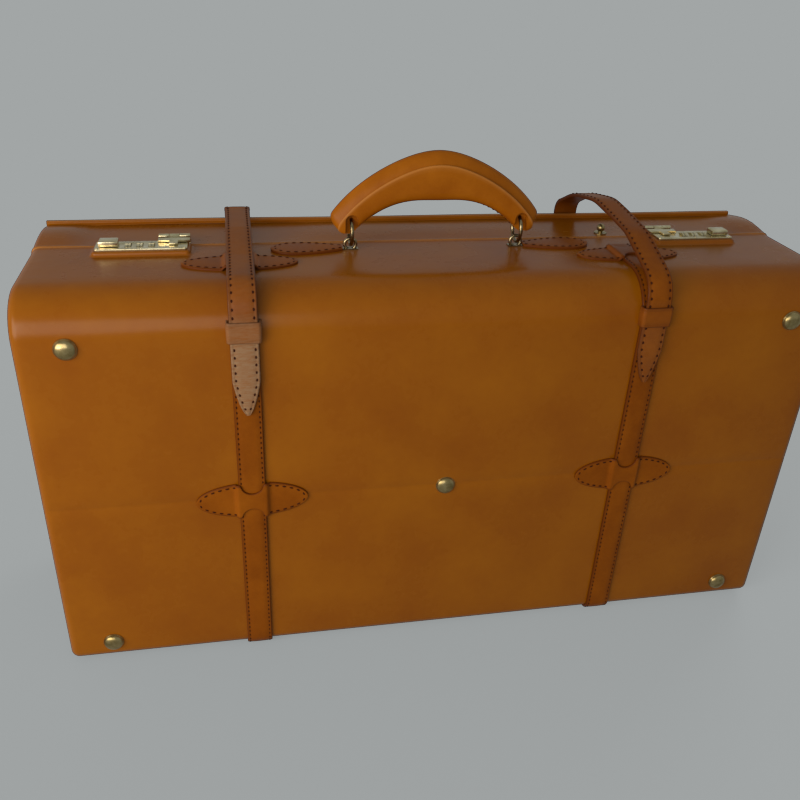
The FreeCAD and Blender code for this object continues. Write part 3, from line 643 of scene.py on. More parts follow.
# Strap loops: oval patches sewn down at both lobes, with a narrow bridge over the strap.
# The hide is wetted and pressed, so that it follows the strap's sides.
LOOP_HALF = 52.0
LOOP_TALL = 19.25
LOOP_WAIST = 8.5
NOTCH_R = 10.5
LOOP_THICK = 2.0
LOOP_Z = 186.0
TOP_LOOP_FROM_SEAM = 55.0
DRAPE_START = 0.4
DRAPE_END = 4.5
LOBE_INSET = 3.0
LOBE_FROM_STRAP = 3.5
LOBE_STEPS = 40
PATCH_LEAST = 0.05
PATCH_EDGE = 0.84
PATCH_RUB = 0.9
# Rows across a patch, as shares of its half height, and how far each falls below the full thickness.
half_rows = [
    (0.0, -0.15), (0.3, -0.14), (0.6, -0.1), (0.78, 0.0),
    (0.86, 0.0), (0.94, 0.04), (0.985, 0.2), (1.0, 0.55),
]
PATCH_ROWS = [(-r, f) for r, f in reversed(half_rows[1:])] + half_rows
# How far the right rear strap leans over its height.
LEAN = {"left": 0.0, "right": 15.0}


def smooth(a, b, value):
    """0 below a, 1 above b, with an even bend between."""
    t = min(1.0, max(0.0, (value - a) / (b - a)))
    return t * t * (3 - 2 * t)


def lobe_height(u):
    """Half the height of an oval loop at a distance from its middle."""
    oval = LOOP_TALL * math.sqrt(max(0.0, 1 - (u / LOOP_HALF) ** 2))
    if abs(u) < NOTCH_R:
        return min(oval, LOOP_WAIST + NOTCH_R - math.sqrt(NOTCH_R ** 2 - u * u))
    return oval


def strap_drape(u):
    """How far the loop is lifted by the strap under it."""
    beyond = abs(u) - STRAP_WIDE / 2
    return (STRAP_THICK + PLY_GAP) * (1 - smooth(DRAPE_START, DRAPE_END, beyond))


def sewn_patch(name, columns, height_at, drape_at, thick, place):
    """A leather patch with a rounded edge, pressed along its sewing line, laid on a flat place."""
    wide = len(PATCH_ROWS)
    top = []
    under = []
    for u in columns:
        tall = max(height_at(u), PATCH_LEAST)
        lift = drape_at(u)
        top += [place @ Vector((u, tall * r, lift + thick * (1 - f))) for r, f in PATCH_ROWS]
        under += [place @ Vector((u, tall * r, lift)) for r, f in PATCH_ROWS]
    count = len(columns)
    faces = []
    for i in range(count - 1):
        for j in range(wide - 1):
            a = i * wide + j
            faces.append((a, a + wide, a + wide + 1, a + 1))
            b = a + count * wide
            faces.append((b, b + 1, b + wide + 1, b + wide))
        for j in (0, wide - 1):
            a = i * wide + j
            b = a + count * wide
            faces.append((a, b, b + wide, a + wide))
    for i in (0, count - 1):
        ring = [i * wide + j for j in range(wide)]
        faces.append(tuple(ring + [count * wide + k for k in reversed(ring)]))
    piece = new_piece(name, top + under, faces, 50)
    face_outward(piece)
    edge = [smooth(PATCH_EDGE, 1.0, abs(r)) * PATCH_RUB for r, f in PATCH_ROWS]
    keep_shares(piece, "rim", edge * (2 * count))
    return piece


def loop_columns():
    """Distances along a loop, closer together at its tips, its notches and the strap's sides."""
    outer = [LOOP_HALF * math.sin(math.radians(a)) for a in range(24, 91, 6)]
    inner = [0.0, 3.0, 6.0, 8.0, 9.5, 10.4, 11.6, 12.9, 13.9, 14.9, 15.9, 17.0, 18.6]
    half = inner + outer
    return [-u for u in reversed(half[1:])] + half


def lobe_lines(place):
    """The sewing line round each lobe, which starts and ends at the strap."""
    reach = LOOP_HALF - LOBE_INSET
    low = STRAP_WIDE / 2 + LOBE_FROM_STRAP
    lines = []
    for hand in (-1, 1):
        path = []
        for k in range(LOBE_STEPS + 1):
            angle = math.pi * (k / LOBE_STEPS - 0.5)
            u = low + (reach - low) * math.cos(angle)
            tall = (LOOP_TALL - LOBE_INSET) * math.sqrt(max(0.0, 1 - (u / reach) ** 2))
            v = math.copysign(tall, angle)
            path.append(place @ Vector((hand * u, v, strap_drape(u) + LOOP_THICK - THREAD_SUNK)))
        lines.append(path)
    return lines


for hand, side in SIDES.items():
    x = side * STRAP_X
    back_low, back_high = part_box("back_loop_" + hand)
    back_middle = Vector(((back_low.x + back_high.x) / 2 / MM, BACK, LOOP_Z))
    upright = Matrix.Rotation(math.pi / 2, 4, "X")
    lean = Matrix.Rotation(-math.atan2(LEAN[hand], TOP - BOTTOM), 4, "Y")
    places = (
        ("front_loop", "case", Matrix.Translation((x, FRONT, LOOP_Z)) @ upright),
        ("top_loop", "case", Matrix.Translation((x, SEAM - TOP_LOOP_FROM_SEAM, TOP))),
        ("back_loop", "lid", Matrix.Translation(back_middle) @ lean @ upright.inverted()),
    )
    for kind, body, place in places:
        name = kind + "_patch_" + hand
        patch = sewn_patch(name, loop_columns(), lobe_height, strap_drape, LOOP_THICK, place)
        patch.data.materials.append(strap_hide)
        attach(patch, body)
        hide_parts(kind + "_" + hand)
        stitch_lines[(body, "oval")] += lobe_lines(place)

# Keepers: short bands round both plies on the front, their ends tucked behind the fixed strap.
# The loose tongue slides through under them.
KEEPER_THICK = 2.0
KEEPER_R = 2.2
KEEPER_STEP = 3
KEEPER_TUCK = 0.1
KEEPER_GROOVE = 0.15
# How pale each keeper is painted: rubbed hide with a painted sheen, mostly on the left one.
KEEPER_WEAR_AND_SHEEN = {"left": 0.5, "right": 0.05}
keeper_low, keeper_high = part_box("strap_keeper_left")
KEEPER_TALL = (keeper_high.z - keeper_low.z) / MM
KEEPER_Z = (keeper_high.z + keeper_low.z) / 2 / MM
keeper_out = keeper_low.y / MM + KEEPER_THICK / 2
keeper_half = STRAP_WIDE / 2 + PLY_GAP + KEEPER_THICK / 2
for hand, side in SIDES.items():
    x = side * STRAP_X
    run = rounded_run([
        (Vector((x - keeper_half, FRONT - KEEPER_TUCK, KEEPER_Z)), 0),
        (Vector((x - keeper_half, keeper_out, KEEPER_Z)), KEEPER_R),
        (Vector((x + keeper_half, keeper_out, KEEPER_Z)), KEEPER_R),
        (Vector((x + keeper_half, FRONT - KEEPER_TUCK, KEEPER_Z)), 0),
    ], KEEPER_STEP)
    stations = [(p, t.cross(UPWARD), UPWARD, KEEPER_TALL) for p, t in zip(run, headings(run))]
    keeper = leather_band("keeper_band_" + hand, stations, KEEPER_THICK, KEEPER_GROOVE)
    chafe(keeper, [KEEPER_WEAR_AND_SHEEN[hand]] * len(stations))
    keeper.data.materials.append(strap_hide)
    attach(keeper, "case")
    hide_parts("strap_keeper_" + hand)

# Tongues: the loose strap ends, pointed and sewn, which come over the rim and hang down the front.
# The left one is buttoned flat, the right one is undone and stands up in an arch.
TONGUE_WIDE = 24.0
TONGUE_STEP = 4
TONGUE_INSET = 3.1
TIP_POINT = 33.0
TIP_STEP = 2.2
TIP_LEAST = 0.14
TIP_UNSEWN = 5.0
TIP_DROP = {"left": 3.5, "right": 0.0}
# How pale each tongue is painted near its keeper and point: worn hide with a painted sheen, strongest on the
# left one.
WEAR_AND_SHEEN = {"left": 1.0, "right": 0.12}
WEAR_SHEEN_LEAST = 0.16
WEAR_SHEEN_BELOW = 6.0
WEAR_SHEEN_ABOVE = 26.0
BEND_R = 26.0
ARCH_R = 60.0
CURL = 9.0
LIFT = {"left": 12.0, "right": 18.3}
SKEW = {"left": 0.0, "right": 17.3}
tongue_in = FRONT - STRAP_THICK - PLY_GAP
tongue_mid = tongue_in - level
rest_on_loop = TOP + STRAP_THICK + PLY_GAP + LOOP_THICK + PLY_GAP + level
# The knees of each tongue's path, as depth, height and radius.
knees = {
    "left": [(tongue_mid, rest_on_loop, BEND_R + level),
             (SEAM - TOP_LOOP_FROM_SEAM, rest_on_loop, 2 * BEND_R - level),
             (SEAM + 7, TOP + LIFT["left"] + level, BEND_R + level)],
    "right": [(tongue_mid, TOP - 2 + level, BEND_R + level),
              (FRONT + 61, TOP + 25 + level, ARCH_R + level),
              (BACK - 72, TOP + 36.5 + level, ARCH_R + level),
              (BACK - 30, TOP + 30.5 + level, 45.0)],
}


def tip_width(height):
    """The tongue's width at a height above its rounded point."""
    share = min(1.0, max(0.0, height) / TIP_POINT)
    return TONGUE_WIDE * max(TIP_LEAST, math.sqrt(share))


for hand, side in SIDES.items():
    x = side * STRAP_X
    tip_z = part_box("strap_tongue_" + hand)[0].z / MM - TIP_DROP[hand]
    corners = [(tongue_mid, tip_z, 0), (tongue_mid, tip_z + TIP_POINT, 0)] + knees[hand]
    corners.append((BACK - CURL - PLY_GAP, TOP + LIFT[hand] + level, 0))
    run = bent_path(x, TIP_STEP, corners[:2]) + bent_path(x, TONGUE_STEP, corners[1:])[1:]
    stations = []
    for p, t in zip(run, headings(run)):
        share = max(0.0, p.y - tongue_in) / (BACK - FRONT)
        wide = tip_width(p.z - tip_z) if p.y < tongue_in else TONGUE_WIDE
        stations.append((p - ACROSS * (SKEW[hand] * share ** 3), ACROSS.cross(t), ACROSS, wide))
    tongue = leather_band("tongue_strap_" + hand, stations, STRAP_THICK, STRAP_GROOVE)
    reach = [1 - smooth(KEEPER_Z - WEAR_SHEEN_BELOW, KEEPER_Z + WEAR_SHEEN_ABOVE, s[0].z) for s in stations]
    chafe(tongue, [WEAR_AND_SHEEN[hand] * max(WEAR_SHEEN_LEAST, r) for r in reach])
    tongue.data.materials.append(strap_hide)
    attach(tongue, "strap_" + hand)
    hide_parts("strap_tongue_" + hand)
    sewn = [s for s in stations if s[0].z > tip_z + TIP_UNSEWN]
    stitch_lines[("strap_" + hand, "tongue")] = edge_lines(sewn, STRAP_THICK, TONGUE_INSET)

# Rear straps: fixed to the lid, under it, up the back and curled forward over the rim.
# The right one leans a little, because its loose end has been pulled askew.
CURL_R = {"left": 6.5, "right": 19.0}
DROOP = {"left": 0.0, "right": 6.2}
HEEL_R = 4.0
REAR_STEP = 6
for hand, side in SIDES.items():
    x = side * STRAP_X
    crest = TOP + LIFT[hand] + level
    lean = LEAN[hand] / (TOP - BOTTOM)
    run = bent_path(x, REAR_STEP, [
        (SEAM + HINGE_SWEEP, BOTTOM - level, 0),
        (BACK + level, BOTTOM - level, HEEL_R),
        (BACK + level, crest - DROOP[hand], CURL_R[hand]),
        (BACK - CURL, crest, 0),
    ])
    leaned = [p - ACROSS * (lean * max(0.0, p.z - BOTTOM)) for p in run]
    stations = [(p, ACROSS.cross(t) * -1, ACROSS, STRAP_WIDE) for p, t in zip(leaned, headings(run))]
    strap = leather_band("rear_strap_" + hand, stations, STRAP_THICK, STRAP_GROOVE)
    strap.data.materials.append(strap_hide)
    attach(strap, "lid")
    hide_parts("back_strap_" + hand)
    stitch_lines[("lid", "strap")] += edge_lines(stations[1:], STRAP_THICK, SEW_INSET)

# Handle: a crescent of leather sewn over a core, with flat cheeks, a turned lip and a crowned top band.
# Each rounded foot has an arched slot on both cheeks, where its ring goes in.
ring_low, ring_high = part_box("handle_ring_left")
RING_Y = (ring_low.y + ring_high.y) / 2 / MM
RING_X = -(ring_low.x + ring_high.x) / 2 / MM
GRIP_HALF = 88.0
GRIP_FOOT = 27.0
GRIP_MIDDLE = 70.6
GRIP_TALL = (23.2, 9.6)
GRIP_TAPER = 0.46
GRIP_DEEP = (12.8, 11.6)
GRIP_CROWN = (11.4, 9.8)
GRIP_PEAK = 0.2
PEAK_SOFT = 0.2
GRIP_TURNS = 44
FOOT_CAP = 9.6
FOOT_THIN = 0.72
FOOT_DEGREES = (15, 30, 45, 58, 70, 80)
LIP_SHARE = 0.5
LIP_MARK = 0.632
SHOULDER_CREASE = 0.6
rise = GRIP_MIDDLE - GRIP_FOOT
bow_r = (GRIP_HALF ** 2 + rise ** 2) / (2 * rise)
bow_z = TOP + GRIP_MIDDLE - bow_r
sweep = math.asin(GRIP_HALF / bow_r)
# The section runs from the front shoulder over lip, groove and crown, as shares of height and depth.
over_crown = [
    (0.545, -1.0), (0.600, -0.985), (0.632, -0.93), (0.622, -0.85), (0.575, -0.79),
    (0.585, -0.72), (0.665, -0.64), (0.80, -0.48), (0.94, -0.25),
]
under_grip = [
    (0.22, 1.005), (0.05, 1.02), (-0.2, 1.02), (-0.55, 1.0), (-0.80, 0.91), (-0.95, 0.66), (-1.0, 0.25),
]
grip_section = over_crown + [(1.0, 0.0)] + [(h, -d) for h, d in reversed(over_crown)]
grip_section += under_grip + [(h, -d) for h, d in reversed(under_grip)]
around = len(grip_section)
# Shares along the front lip, painted paler: a painted highlight along the shoulder, with some rubbing.
lip_rub_and_highlight = [0.3, 1.0, 1.0, 0.2, 0.0]
over_rub_and_highlight = lip_rub_and_highlight + [0.0] * (2 * len(over_crown) + 1 - 2 * len(lip_rub_and_highlight)) + list(reversed(lip_rub_and_highlight))
grip_rub_and_highlight = over_rub_and_highlight + [0.0] * (2 * len(under_grip))


def grip_frame(angle):
    """The middle of the grip at an angle of its bow, its upward direction, half height and half depth."""
    share = abs(angle) / sweep
    up = Vector((math.sin(angle), 0, math.cos(angle)))
    tall = GRIP_TALL[1] + (GRIP_TALL[0] - GRIP_TALL[1]) / (1 + (share / GRIP_TAPER) ** 2)
    deep = GRIP_DEEP[0] + (GRIP_DEEP[1] - GRIP_DEEP[0]) * share
    straight = (math.hypot(share, PEAK_SOFT) - PEAK_SOFT) / (math.hypot(1, PEAK_SOFT) - PEAK_SOFT)
    bowed = (1 - math.cos(angle)) / (1 - math.cos(sweep))
    drop = UPWARD * (GRIP_PEAK * rise * (straight - bowed))
    return Vector((0, RING_Y, bow_z)) + up * bow_r - drop, up, tall, deep


def grip_offset(h, tall, share):
    """How far a section point is from the middle: lip and crown keep their size along the bow."""
    if h < LIP_SHARE:
        return h * tall
    crown = GRIP_CROWN[0] + (GRIP_CROWN[1] - GRIP_CROWN[0]) * share
    return LIP_SHARE * tall + (h - LIP_MARK) / (1 - LIP_MARK) * crown


caps = [(math.cos(math.radians(d)), math.sin(math.radians(d))) for d in FOOT_DEGREES]
grip_rows = [(-sweep, c, -s) for c, s in reversed(caps)]
grip_rows += [(sweep * (2 * k / GRIP_TURNS - 1), 1.0, 0.0) for k in range(GRIP_TURNS + 1)]
grip_rows += [(sweep, c, s) for c, s in caps]
verts = []
for angle, scale, beyond in grip_rows:
    centre, up, tall, deep = grip_frame(angle)
    along = Vector((math.cos(angle), 0, -math.sin(angle)))
    middle = centre + along * (beyond * FOOT_CAP)
    thin = FOOT_THIN + (1 - FOOT_THIN) * scale
    share = abs(angle) / sweep
    verts += [middle + up * (grip_offset(h, tall, share) * scale) + Vector((0, d * deep * thin, 0))
              for h, d in grip_section]
grip = new_piece("handle_leather", verts, tube_faces(len(grip_rows), around), 60)
face_outward(grip)
creases = grip.data.attributes.new("crease_edge", "FLOAT", "EDGE")
shoulders = (0, 2 * len(over_crown))
for edge in grip.data.edges:
    first, second = [v % around for v in edge.vertices]
    if first == second and first in shoulders:
        creases.data[edge.index].value = SHOULDER_CREASE
keep_shares(grip, "rim", grip_rub_and_highlight * len(grip_rows))
fine = grip.modifiers.new("skin", "SUBSURF")
fine.levels = 2
fine.render_levels = 2
settle(grip)

# Ring slots: an arch cut into each cheek of both feet, long enough to run out below.
# The rings hang in them and turn with the handle.
SLOT_HALF = 6.2
SLOT_TOP = 30.0
SLOT_DEEP = 8.5
SLOT_PROUD = 2.0
SLOT_LONG = 24.0
SLOT_SIDES = 40
shape = bmesh.new()
for side in (-1, 1):
    for face in (-1, 1):
        slot_y = RING_Y + face * (GRIP_DEEP[1] + SLOT_PROUD - SLOT_DEEP / 2)
        made = bmesh.ops.create_cone(
            shape, cap_ends=True, segments=SLOT_SIDES, radius1=SLOT_HALF * MM, radius2=SLOT_HALF * MM,
            depth=SLOT_DEEP * MM)["verts"]
        bmesh.ops.rotate(shape, verts=made, matrix=Matrix.Rotation(math.pi / 2, 3, "X"))
        for v in made:
            if v.co.z < -1e-6:
                v.co.z -= SLOT_LONG * MM
        bmesh.ops.translate(shape, verts=made, vec=Vector((side * RING_X, slot_y, TOP + SLOT_TOP)) * MM)
bmesh.ops.recalc_face_normals(shape, faces=shape.faces)
cut_away(grip, shape, "slot_cutter")
shade_smooth(grip.data, 48)
handle_hide = tanned_leather("handle_leather_tan", "#AB6412", "#965209", 26, 0.9, 0.06, 0.34, 0.04)
# The lip is painted paler: a painted highlight along the shoulder, with some rubbing.
rub_edges(handle_hide, "#D2924E", 0.4)
grip.data.materials.append(handle_hide)
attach(grip, "handle")
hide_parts("handle_grip")
SEAM_PROUD = 0.1
seam_line = []
for angle, scale, beyond in grip_rows[len(caps):-len(caps)]:
    centre, up, tall, deep = grip_frame(angle)
    seam_line.append(centre - up * (tall + SEAM_PROUD))
stitch_lines[("handle", "strap")] = [seam_line]

# Chapes: leaf-shaped leather tabs sewn to the case, narrow at the handle's eyes and broad at the outer end.
# They hold down the plates that the eyes stand on.
chape_low, chape_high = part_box("handle_chape_right")
CHAPE_START = chape_low.x / MM
CHAPE_END = chape_high.x / MM
CHAPE_LONG = CHAPE_END - CHAPE_START
CHAPE_HALF = (chape_high.y - chape_low.y) / 2 / MM
CHAPE_PRESSED = 0.85
CHAPE_THICK = (chape_high.z - chape_low.z) / MM * CHAPE_PRESSED
CHAPE_NECK = 5.5
CHAPE_BELLY = 0.64
CHAPE_SWELL = 1.8
CHAPE_ROUND = 2.4
CHAPE_COLUMNS = 16
CHAPE_INSET = 2.8
CHAPE_TAPER = 6.0
CHAPE_END_INSET = 3.0


def chape_height(u):
    """Half the width of the leaf at a distance from the middle of the case."""
    share = (u - CHAPE_START) / CHAPE_LONG
    if share < CHAPE_BELLY:
        return CHAPE_NECK + (CHAPE_HALF - CHAPE_NECK) * (1 - (1 - share / CHAPE_BELLY) ** CHAPE_SWELL)
    beyond = (share - CHAPE_BELLY) / (1 - CHAPE_BELLY)
    return CHAPE_HALF * math.sqrt(max(0.0, 1 - beyond ** CHAPE_ROUND))


belly = CHAPE_START + CHAPE_LONG * CHAPE_BELLY
columns = [CHAPE_START + (belly - CHAPE_START) * k / CHAPE_COLUMNS for k in range(CHAPE_COLUMNS)]
columns += [belly + (CHAPE_END - belly) * math.sin(math.radians(a)) for a in range(0, 91, 6)]
for hand, side in SIDES.items():
    place = Matrix.Translation((0, RING_Y, TOP)) @ Matrix.Rotation(0.0 if side > 0 else math.pi, 4, "Z")
    patch = sewn_patch("chape_patch_" + hand, columns, chape_height, lambda u: 0.0, CHAPE_THICK, place)
    patch.data.materials.append(strap_hide)
    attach(patch, "case")
    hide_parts("handle_chape_" + hand)
    path = []
    for u, v in [(c, -1) for c in columns[1:]] + [(c, 1) for c in reversed(columns[1:])]:
        inner = CHAPE_START + (u - CHAPE_START) * (CHAPE_LONG - CHAPE_END_INSET) / CHAPE_LONG
        tall = chape_height(u)
        sewn = max(0.0, tall - CHAPE_INSET * smooth(0.0, CHAPE_TAPER, tall))
        path.append(place @ Vector((inner, v * sewn, CHAPE_THICK - THREAD_SUNK)))
    stitch_lines[("case", "oval")].append(path)

# Brass: cast and turned fittings, lacquered long ago, a little dull in cloudy patches.
# Polished brass is kept for the locks, which catch the light.
HAZE = 0.16


def worn_brass(name, bright, dull, rough, patch_mm):
    """Lacquered brass with cloudy tarnish and fine rubbing marks."""
    material, tree, shader = new_material(name)
    coords = object_coords(tree)
    stain = clouds(tree, coords, patch_mm, 6.0, 0.65)
    feed(tree, shader, {
        "Base Color": blend(tree, remap(tree, stain, 0.35, 0.7), dull, bright),
        "Roughness": remap(tree, stain, 0.3, 0.75, rough + HAZE, rough),
        "Normal": bump(tree, clouds(tree, coords, 0.8, 2.0), 0.12, 0.1), "Metallic": 1.0})
    return material


aged_brass = worn_brass("aged_brass", "#BDAB7C", "#857347", 0.22, 7)
lock_brass = worn_brass("polished_lock_brass", "#E4D8B2", "#BBAC82", 0.12, 12)
ring_brass = worn_brass("tarnished_ring_brass", "#B4A684", "#6A5B3C", 0.14, 5)

# Front studs: five turned brass domes riveted through the hide.
# A node tree sets one dome on each point, and serves the lock plates' rivets as well.
STUD_R = 9.75
STUD_RISE = 6.0
STUD_RIM = 0.9
STUD_SHOULDER = 1.35
STUD_CHAMFER = 0.965
STUD_DOME = 0.94
STUD_SPOKES = 48
STUD_OFF = 0.2
dome_arc = [math.radians(d) for d in range(0, 90, ARC_DEGREES)]
dome_profile = [(STUD_R, 0.0), (STUD_R, STUD_RIM), (STUD_R * STUD_CHAMFER, STUD_SHOULDER)]
dome_profile += [(STUD_R * STUD_DOME * math.cos(a), STUD_SHOULDER + (STUD_RISE - STUD_SHOULDER) * math.sin(a))
                 for a in dome_arc]
spokes = [2 * math.pi * k / STUD_SPOKES for k in range(STUD_SPOKES)]
verts = [Vector((r * math.cos(a), -h, r * math.sin(a))) for r, h in dome_profile for a in spokes]
crown = len(verts)
hub = crown + 1
last = crown - STUD_SPOKES
faces = tube_faces(len(dome_profile), STUD_SPOKES)[2:]
for k in range(STUD_SPOKES):
    after = (k + 1) % STUD_SPOKES
    faces += [(last + k, last + after, crown), (after, k, hub)]
verts += [Vector((0, -STUD_RISE, 0)), Vector((0, 0, 0))]
dome = new_piece("stud_dome", verts, faces, 40)
face_outward(dome)
dome_mesh = dome.data


def new_tree(name, inputs):
    """A node tree with named inputs of given kinds, and one geometry output."""
    group = bpy.data.node_groups.new(name, "GeometryNodeTree")
    for label, kind in inputs.items():
        group.interface.new_socket(label, in_out="INPUT", socket_type="NodeSocket" + kind)
    group.interface.new_socket("Geometry", in_out="OUTPUT", socket_type="NodeSocketGeometry")
    return group, put(group, "NodeGroupInput", {}, {}).outputs


def studding_tree():
    """Sets one stud on every point of the piece."""
    group, given = new_tree("set_studs", {
        "Geometry": "Geometry", "Stud": "Object", "Size": "Float", "Metal": "Material"})
    stud = put(group, "GeometryNodeObjectInfo", {}, {"Object": given["Stud"]})
    size = put(group, "ShaderNodeCombineXYZ", {}, {axis: given["Size"] for axis in range(3)})
    set_on = put(group, "GeometryNodeInstanceOnPoints", {}, {
        "Points": given["Geometry"], "Instance": stud.outputs["Geometry"], "Scale": size.outputs[0]})
    real = put(group, "GeometryNodeRealizeInstances", {}, {"Geometry": set_on.outputs[0]})
    made = put(group, "GeometryNodeSetMaterial", {}, {
        "Geometry": real.outputs[0], "Material": given["Metal"]})
    put(group, "NodeGroupOutput", {}, {"Geometry": made.outputs[0]})
    return group


def run_tree(piece, group, values):
    """Runs a node tree with its named inputs and keeps the result as a plain mesh."""
    modifier = piece.modifiers.new("tree", "NODES")
    modifier.node_group = group
    for item in group.interface.items_tree:
        if item.item_type == "SOCKET" and item.in_out == "INPUT" and item.name in values:
            modifier[item.identifier] = values[item.name]
    return settle(piece)


stud_low, stud_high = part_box("front_studs")
stud_x = stud_high.x / MM - STUD_R
stud_hi = stud_high.z / MM - STUD_R
stud_lo = stud_low.z / MM + STUD_R
stud_places = [
    (-stud_x, stud_hi), (stud_x, stud_hi), (0, (stud_hi + stud_lo) / 2),
    (-stud_x, stud_lo), (stud_x, stud_lo),
]
studs = new_piece("front_stud_domes", [Vector((x, FRONT - STUD_OFF, z)) for x, z in stud_places], [], 40)
stud_tree = studding_tree()
run_tree(studs, stud_tree, {"Stud": dome, "Size": 1.0, "Metal": aged_brass})
bpy.data.objects.remove(dome)
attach(studs, "case")
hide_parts("front_studs")

# Small brass that keeps its turned or bent shape: rings, eyes, collar studs, hinges and pins.
# The rings and eyes are darker, because hands have rubbed off their lacquer.
plain_brass = ["stud_washers", "hinge_tray_leaves", "hinge_lid_leaves", "hinge_pins"]
for hand in SIDES:
    plain_brass += [part + hand for part in (
        "handle_ring_", "handle_eye_", "strap_stud_", "hasp_pin_", "dial_spindle_")]
for name in plain_brass:
    finish_node(name, ring_brass if name.startswith("handle_") else aged_brass)

# Lock beds: hide moulded wet over a board block, which lifts each lock off the top of the case.
# The hide runs out on to the case in a small hollow curve.
BED_CORNER = 4.0
BED_LEAST_R = 0.6
BED_SPOKES = 48
BED_GAP = 0.05
STEM_HALF = 2.5
STEM_TRAVEL = 5.2
STEM_BELOW = 1.0
STEM_ABOVE = 6.0
# Each ring of the bed, as reach beyond its block and height above the case.
bed_profile = [
    (2.8, 0.03), (1.7, 0.22), (0.8, 0.75), (0.3, 1.55), (0.0, 2.5), (-0.25, 3.2), (-0.8, 3.75), (-1.7, 4.0),
    (-5.0, 4.0), (-9.0, 4.0),
]
for hand, side in SIDES.items():
    low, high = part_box("lock_bed_" + hand)
    middle = (low + high) / 2 / MM
    half = (high - low) / 2 / MM
    verts = []
    for out, height in bed_profile:
        corner = max(BED_LEAST_R, BED_CORNER + out)
        for k in range(BED_SPOKES):
            turn = 2 * math.pi * (k + 0.5) / BED_SPOKES
            along = math.copysign(half.x + out - corner, math.cos(turn)) + corner * math.cos(turn)
            across = math.copysign(half.y + out - corner, math.sin(turn)) + corner * math.sin(turn)
            reach = min(middle.y + across, SEAM - MOUTH_GAP - BED_GAP)
            verts.append(Vector((middle.x + along, reach, TOP + height)))
    bed = new_piece("lock_bed_hide_" + hand, verts, tube_faces(len(bed_profile), BED_SPOKES), 60)
    face_outward(bed)
    button_low, button_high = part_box("lock_button_" + hand)
    stem = (button_low + button_high) / 2 / MM
    stem_low = Vector((stem.x - STEM_HALF, stem.y - STEM_HALF, TOP - STEM_BELOW))
    stem_high = Vector((stem.x + STEM_HALF, stem.y + STEM_HALF, TOP + STEM_ABOVE))
    # The button slides toward the middle of the case, so its well is longer on that side.
    inner = stem_low if side > 0 else stem_high
    inner.x -= side * STEM_TRAVEL
    open_wells(bed, [wells[hand], (stem_low, stem_high)])
    bed.data.materials.append(case_hide)
    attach(bed, "case")
    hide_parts("lock_bed_" + hand)

# Combination locks: stamped and polished brass plates, a sliding button and a hasp on each.
# Every edge is broken with a file, so it catches a bright line.
LOCK_EDGE = 0.35
WELD = 0.002
FLAT_DEGREES = 1
EDGE_DEGREES = 35


def broken_edges(node, name, width, material):
    """A copy of a solid's mesh with its sharp edges broken."""
    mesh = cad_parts[node].data.copy()
    shape = bmesh.new()
    shape.from_mesh(mesh)
    bmesh.ops.remove_doubles(shape, verts=shape.verts, dist=WELD * MM)
    bmesh.ops.dissolve_limit(
        shape, angle_limit=math.radians(FLAT_DEGREES), verts=shape.verts, edges=shape.edges)
    shape.to_mesh(mesh)
    shape.free()
    mesh.materials.clear()
    mesh.materials.append(material)
    piece = link_new(name, mesh)
    bevel = piece.modifiers.new("file", "BEVEL")
    bevel.width = width * MM
    bevel.segments = 2
    bevel.limit_method = "ANGLE"
    bevel.angle_limit = math.radians(EDGE_DEGREES)
    settle(piece)
    shade_smooth(piece.data, 30)
    return piece


for hand in SIDES:
    for part, body in (("lock_case_", "case"), ("lock_catch_", "lid"),
                       ("lock_hasp_", "hasp_" + hand), ("lock_button_", "button_" + hand)):
        plate = broken_edges(part + hand, "brass_" + part + hand, LOCK_EDGE, lock_brass)
        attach(plate, body)
        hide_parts(part + hand)
    for number in DIALS:
        finish_node("lock_dial_" + hand + "_" + number, lock_brass)

# Dial digits: stamped and filled with black enamel, ten round each wheel between its finger notches.
# Enamel gives the eye flat, sharp, glossy black.
DIGIT_TALL = 2.9
DIGIT_RAISE = 0.05
FONT_SCALE = 1.38
TENTH = math.pi / 5
TOP_DIGIT = 4
black_enamel, tree, shader = new_material("black_enamel")
chips = clouds(tree, object_coords(tree), 1.5, 3.0)
feed(tree, shader, {
    "Base Color": blend(tree, chips, "#0E0C0A", "#2A241C"),
    "Roughness": remap(tree, chips, 0.0, 1.0, 0.2, 0.4)})
for hand in SIDES:
    for number in DIALS:
        wheel = hand + "_" + number
        low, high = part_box("lock_dial_" + wheel)
        hub = (low + high) / 2
        wheel_r = (high.z - low.z) / 2
        marks = bmesh.new()
        for digit in range(10):
            figure = bpy.data.curves.new("figure", "FONT")
            figure.body = str(digit)
            figure.size = DIGIT_TALL * FONT_SCALE * MM
            figure.extrude = DIGIT_RAISE * MM
            figure.resolution_u = 3
            figure.align_x = "CENTER"
            figure.align_y = "CENTER"
            holder = link_new("figure", figure)
            graph = bpy.context.evaluated_depsgraph_get()
            flat = bpy.data.meshes.new_from_object(holder.evaluated_get(graph))
            turn = Matrix.Rotation((digit - TOP_DIGIT) * TENTH, 4, "X")
            flat.transform(Matrix.Translation(hub) @ turn @ Matrix.Translation((0, 0, wheel_r)))
            marks.from_mesh(flat)
            bpy.data.objects.remove(holder)
        # Each flat figure is bent round its wheel.
        for v in marks.verts:
            spoke = Vector((0, v.co.y - hub.y, v.co.z - hub.z))
            bent = spoke.normalized() * (wheel_r + math.copysign(DIGIT_RAISE * MM, spoke.length - wheel_r))
            v.co.y = hub.y + bent.y
            v.co.z = hub.z + bent.z
        mesh = bpy.data.meshes.new("dial_figures_" + wheel)
        marks.to_mesh(mesh)
        marks.free()
        mesh.materials.clear()
        mesh.materials.append(black_enamel)
        figures = link_new("dial_figures_" + wheel, mesh)
        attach(figures, "dial_" + wheel)

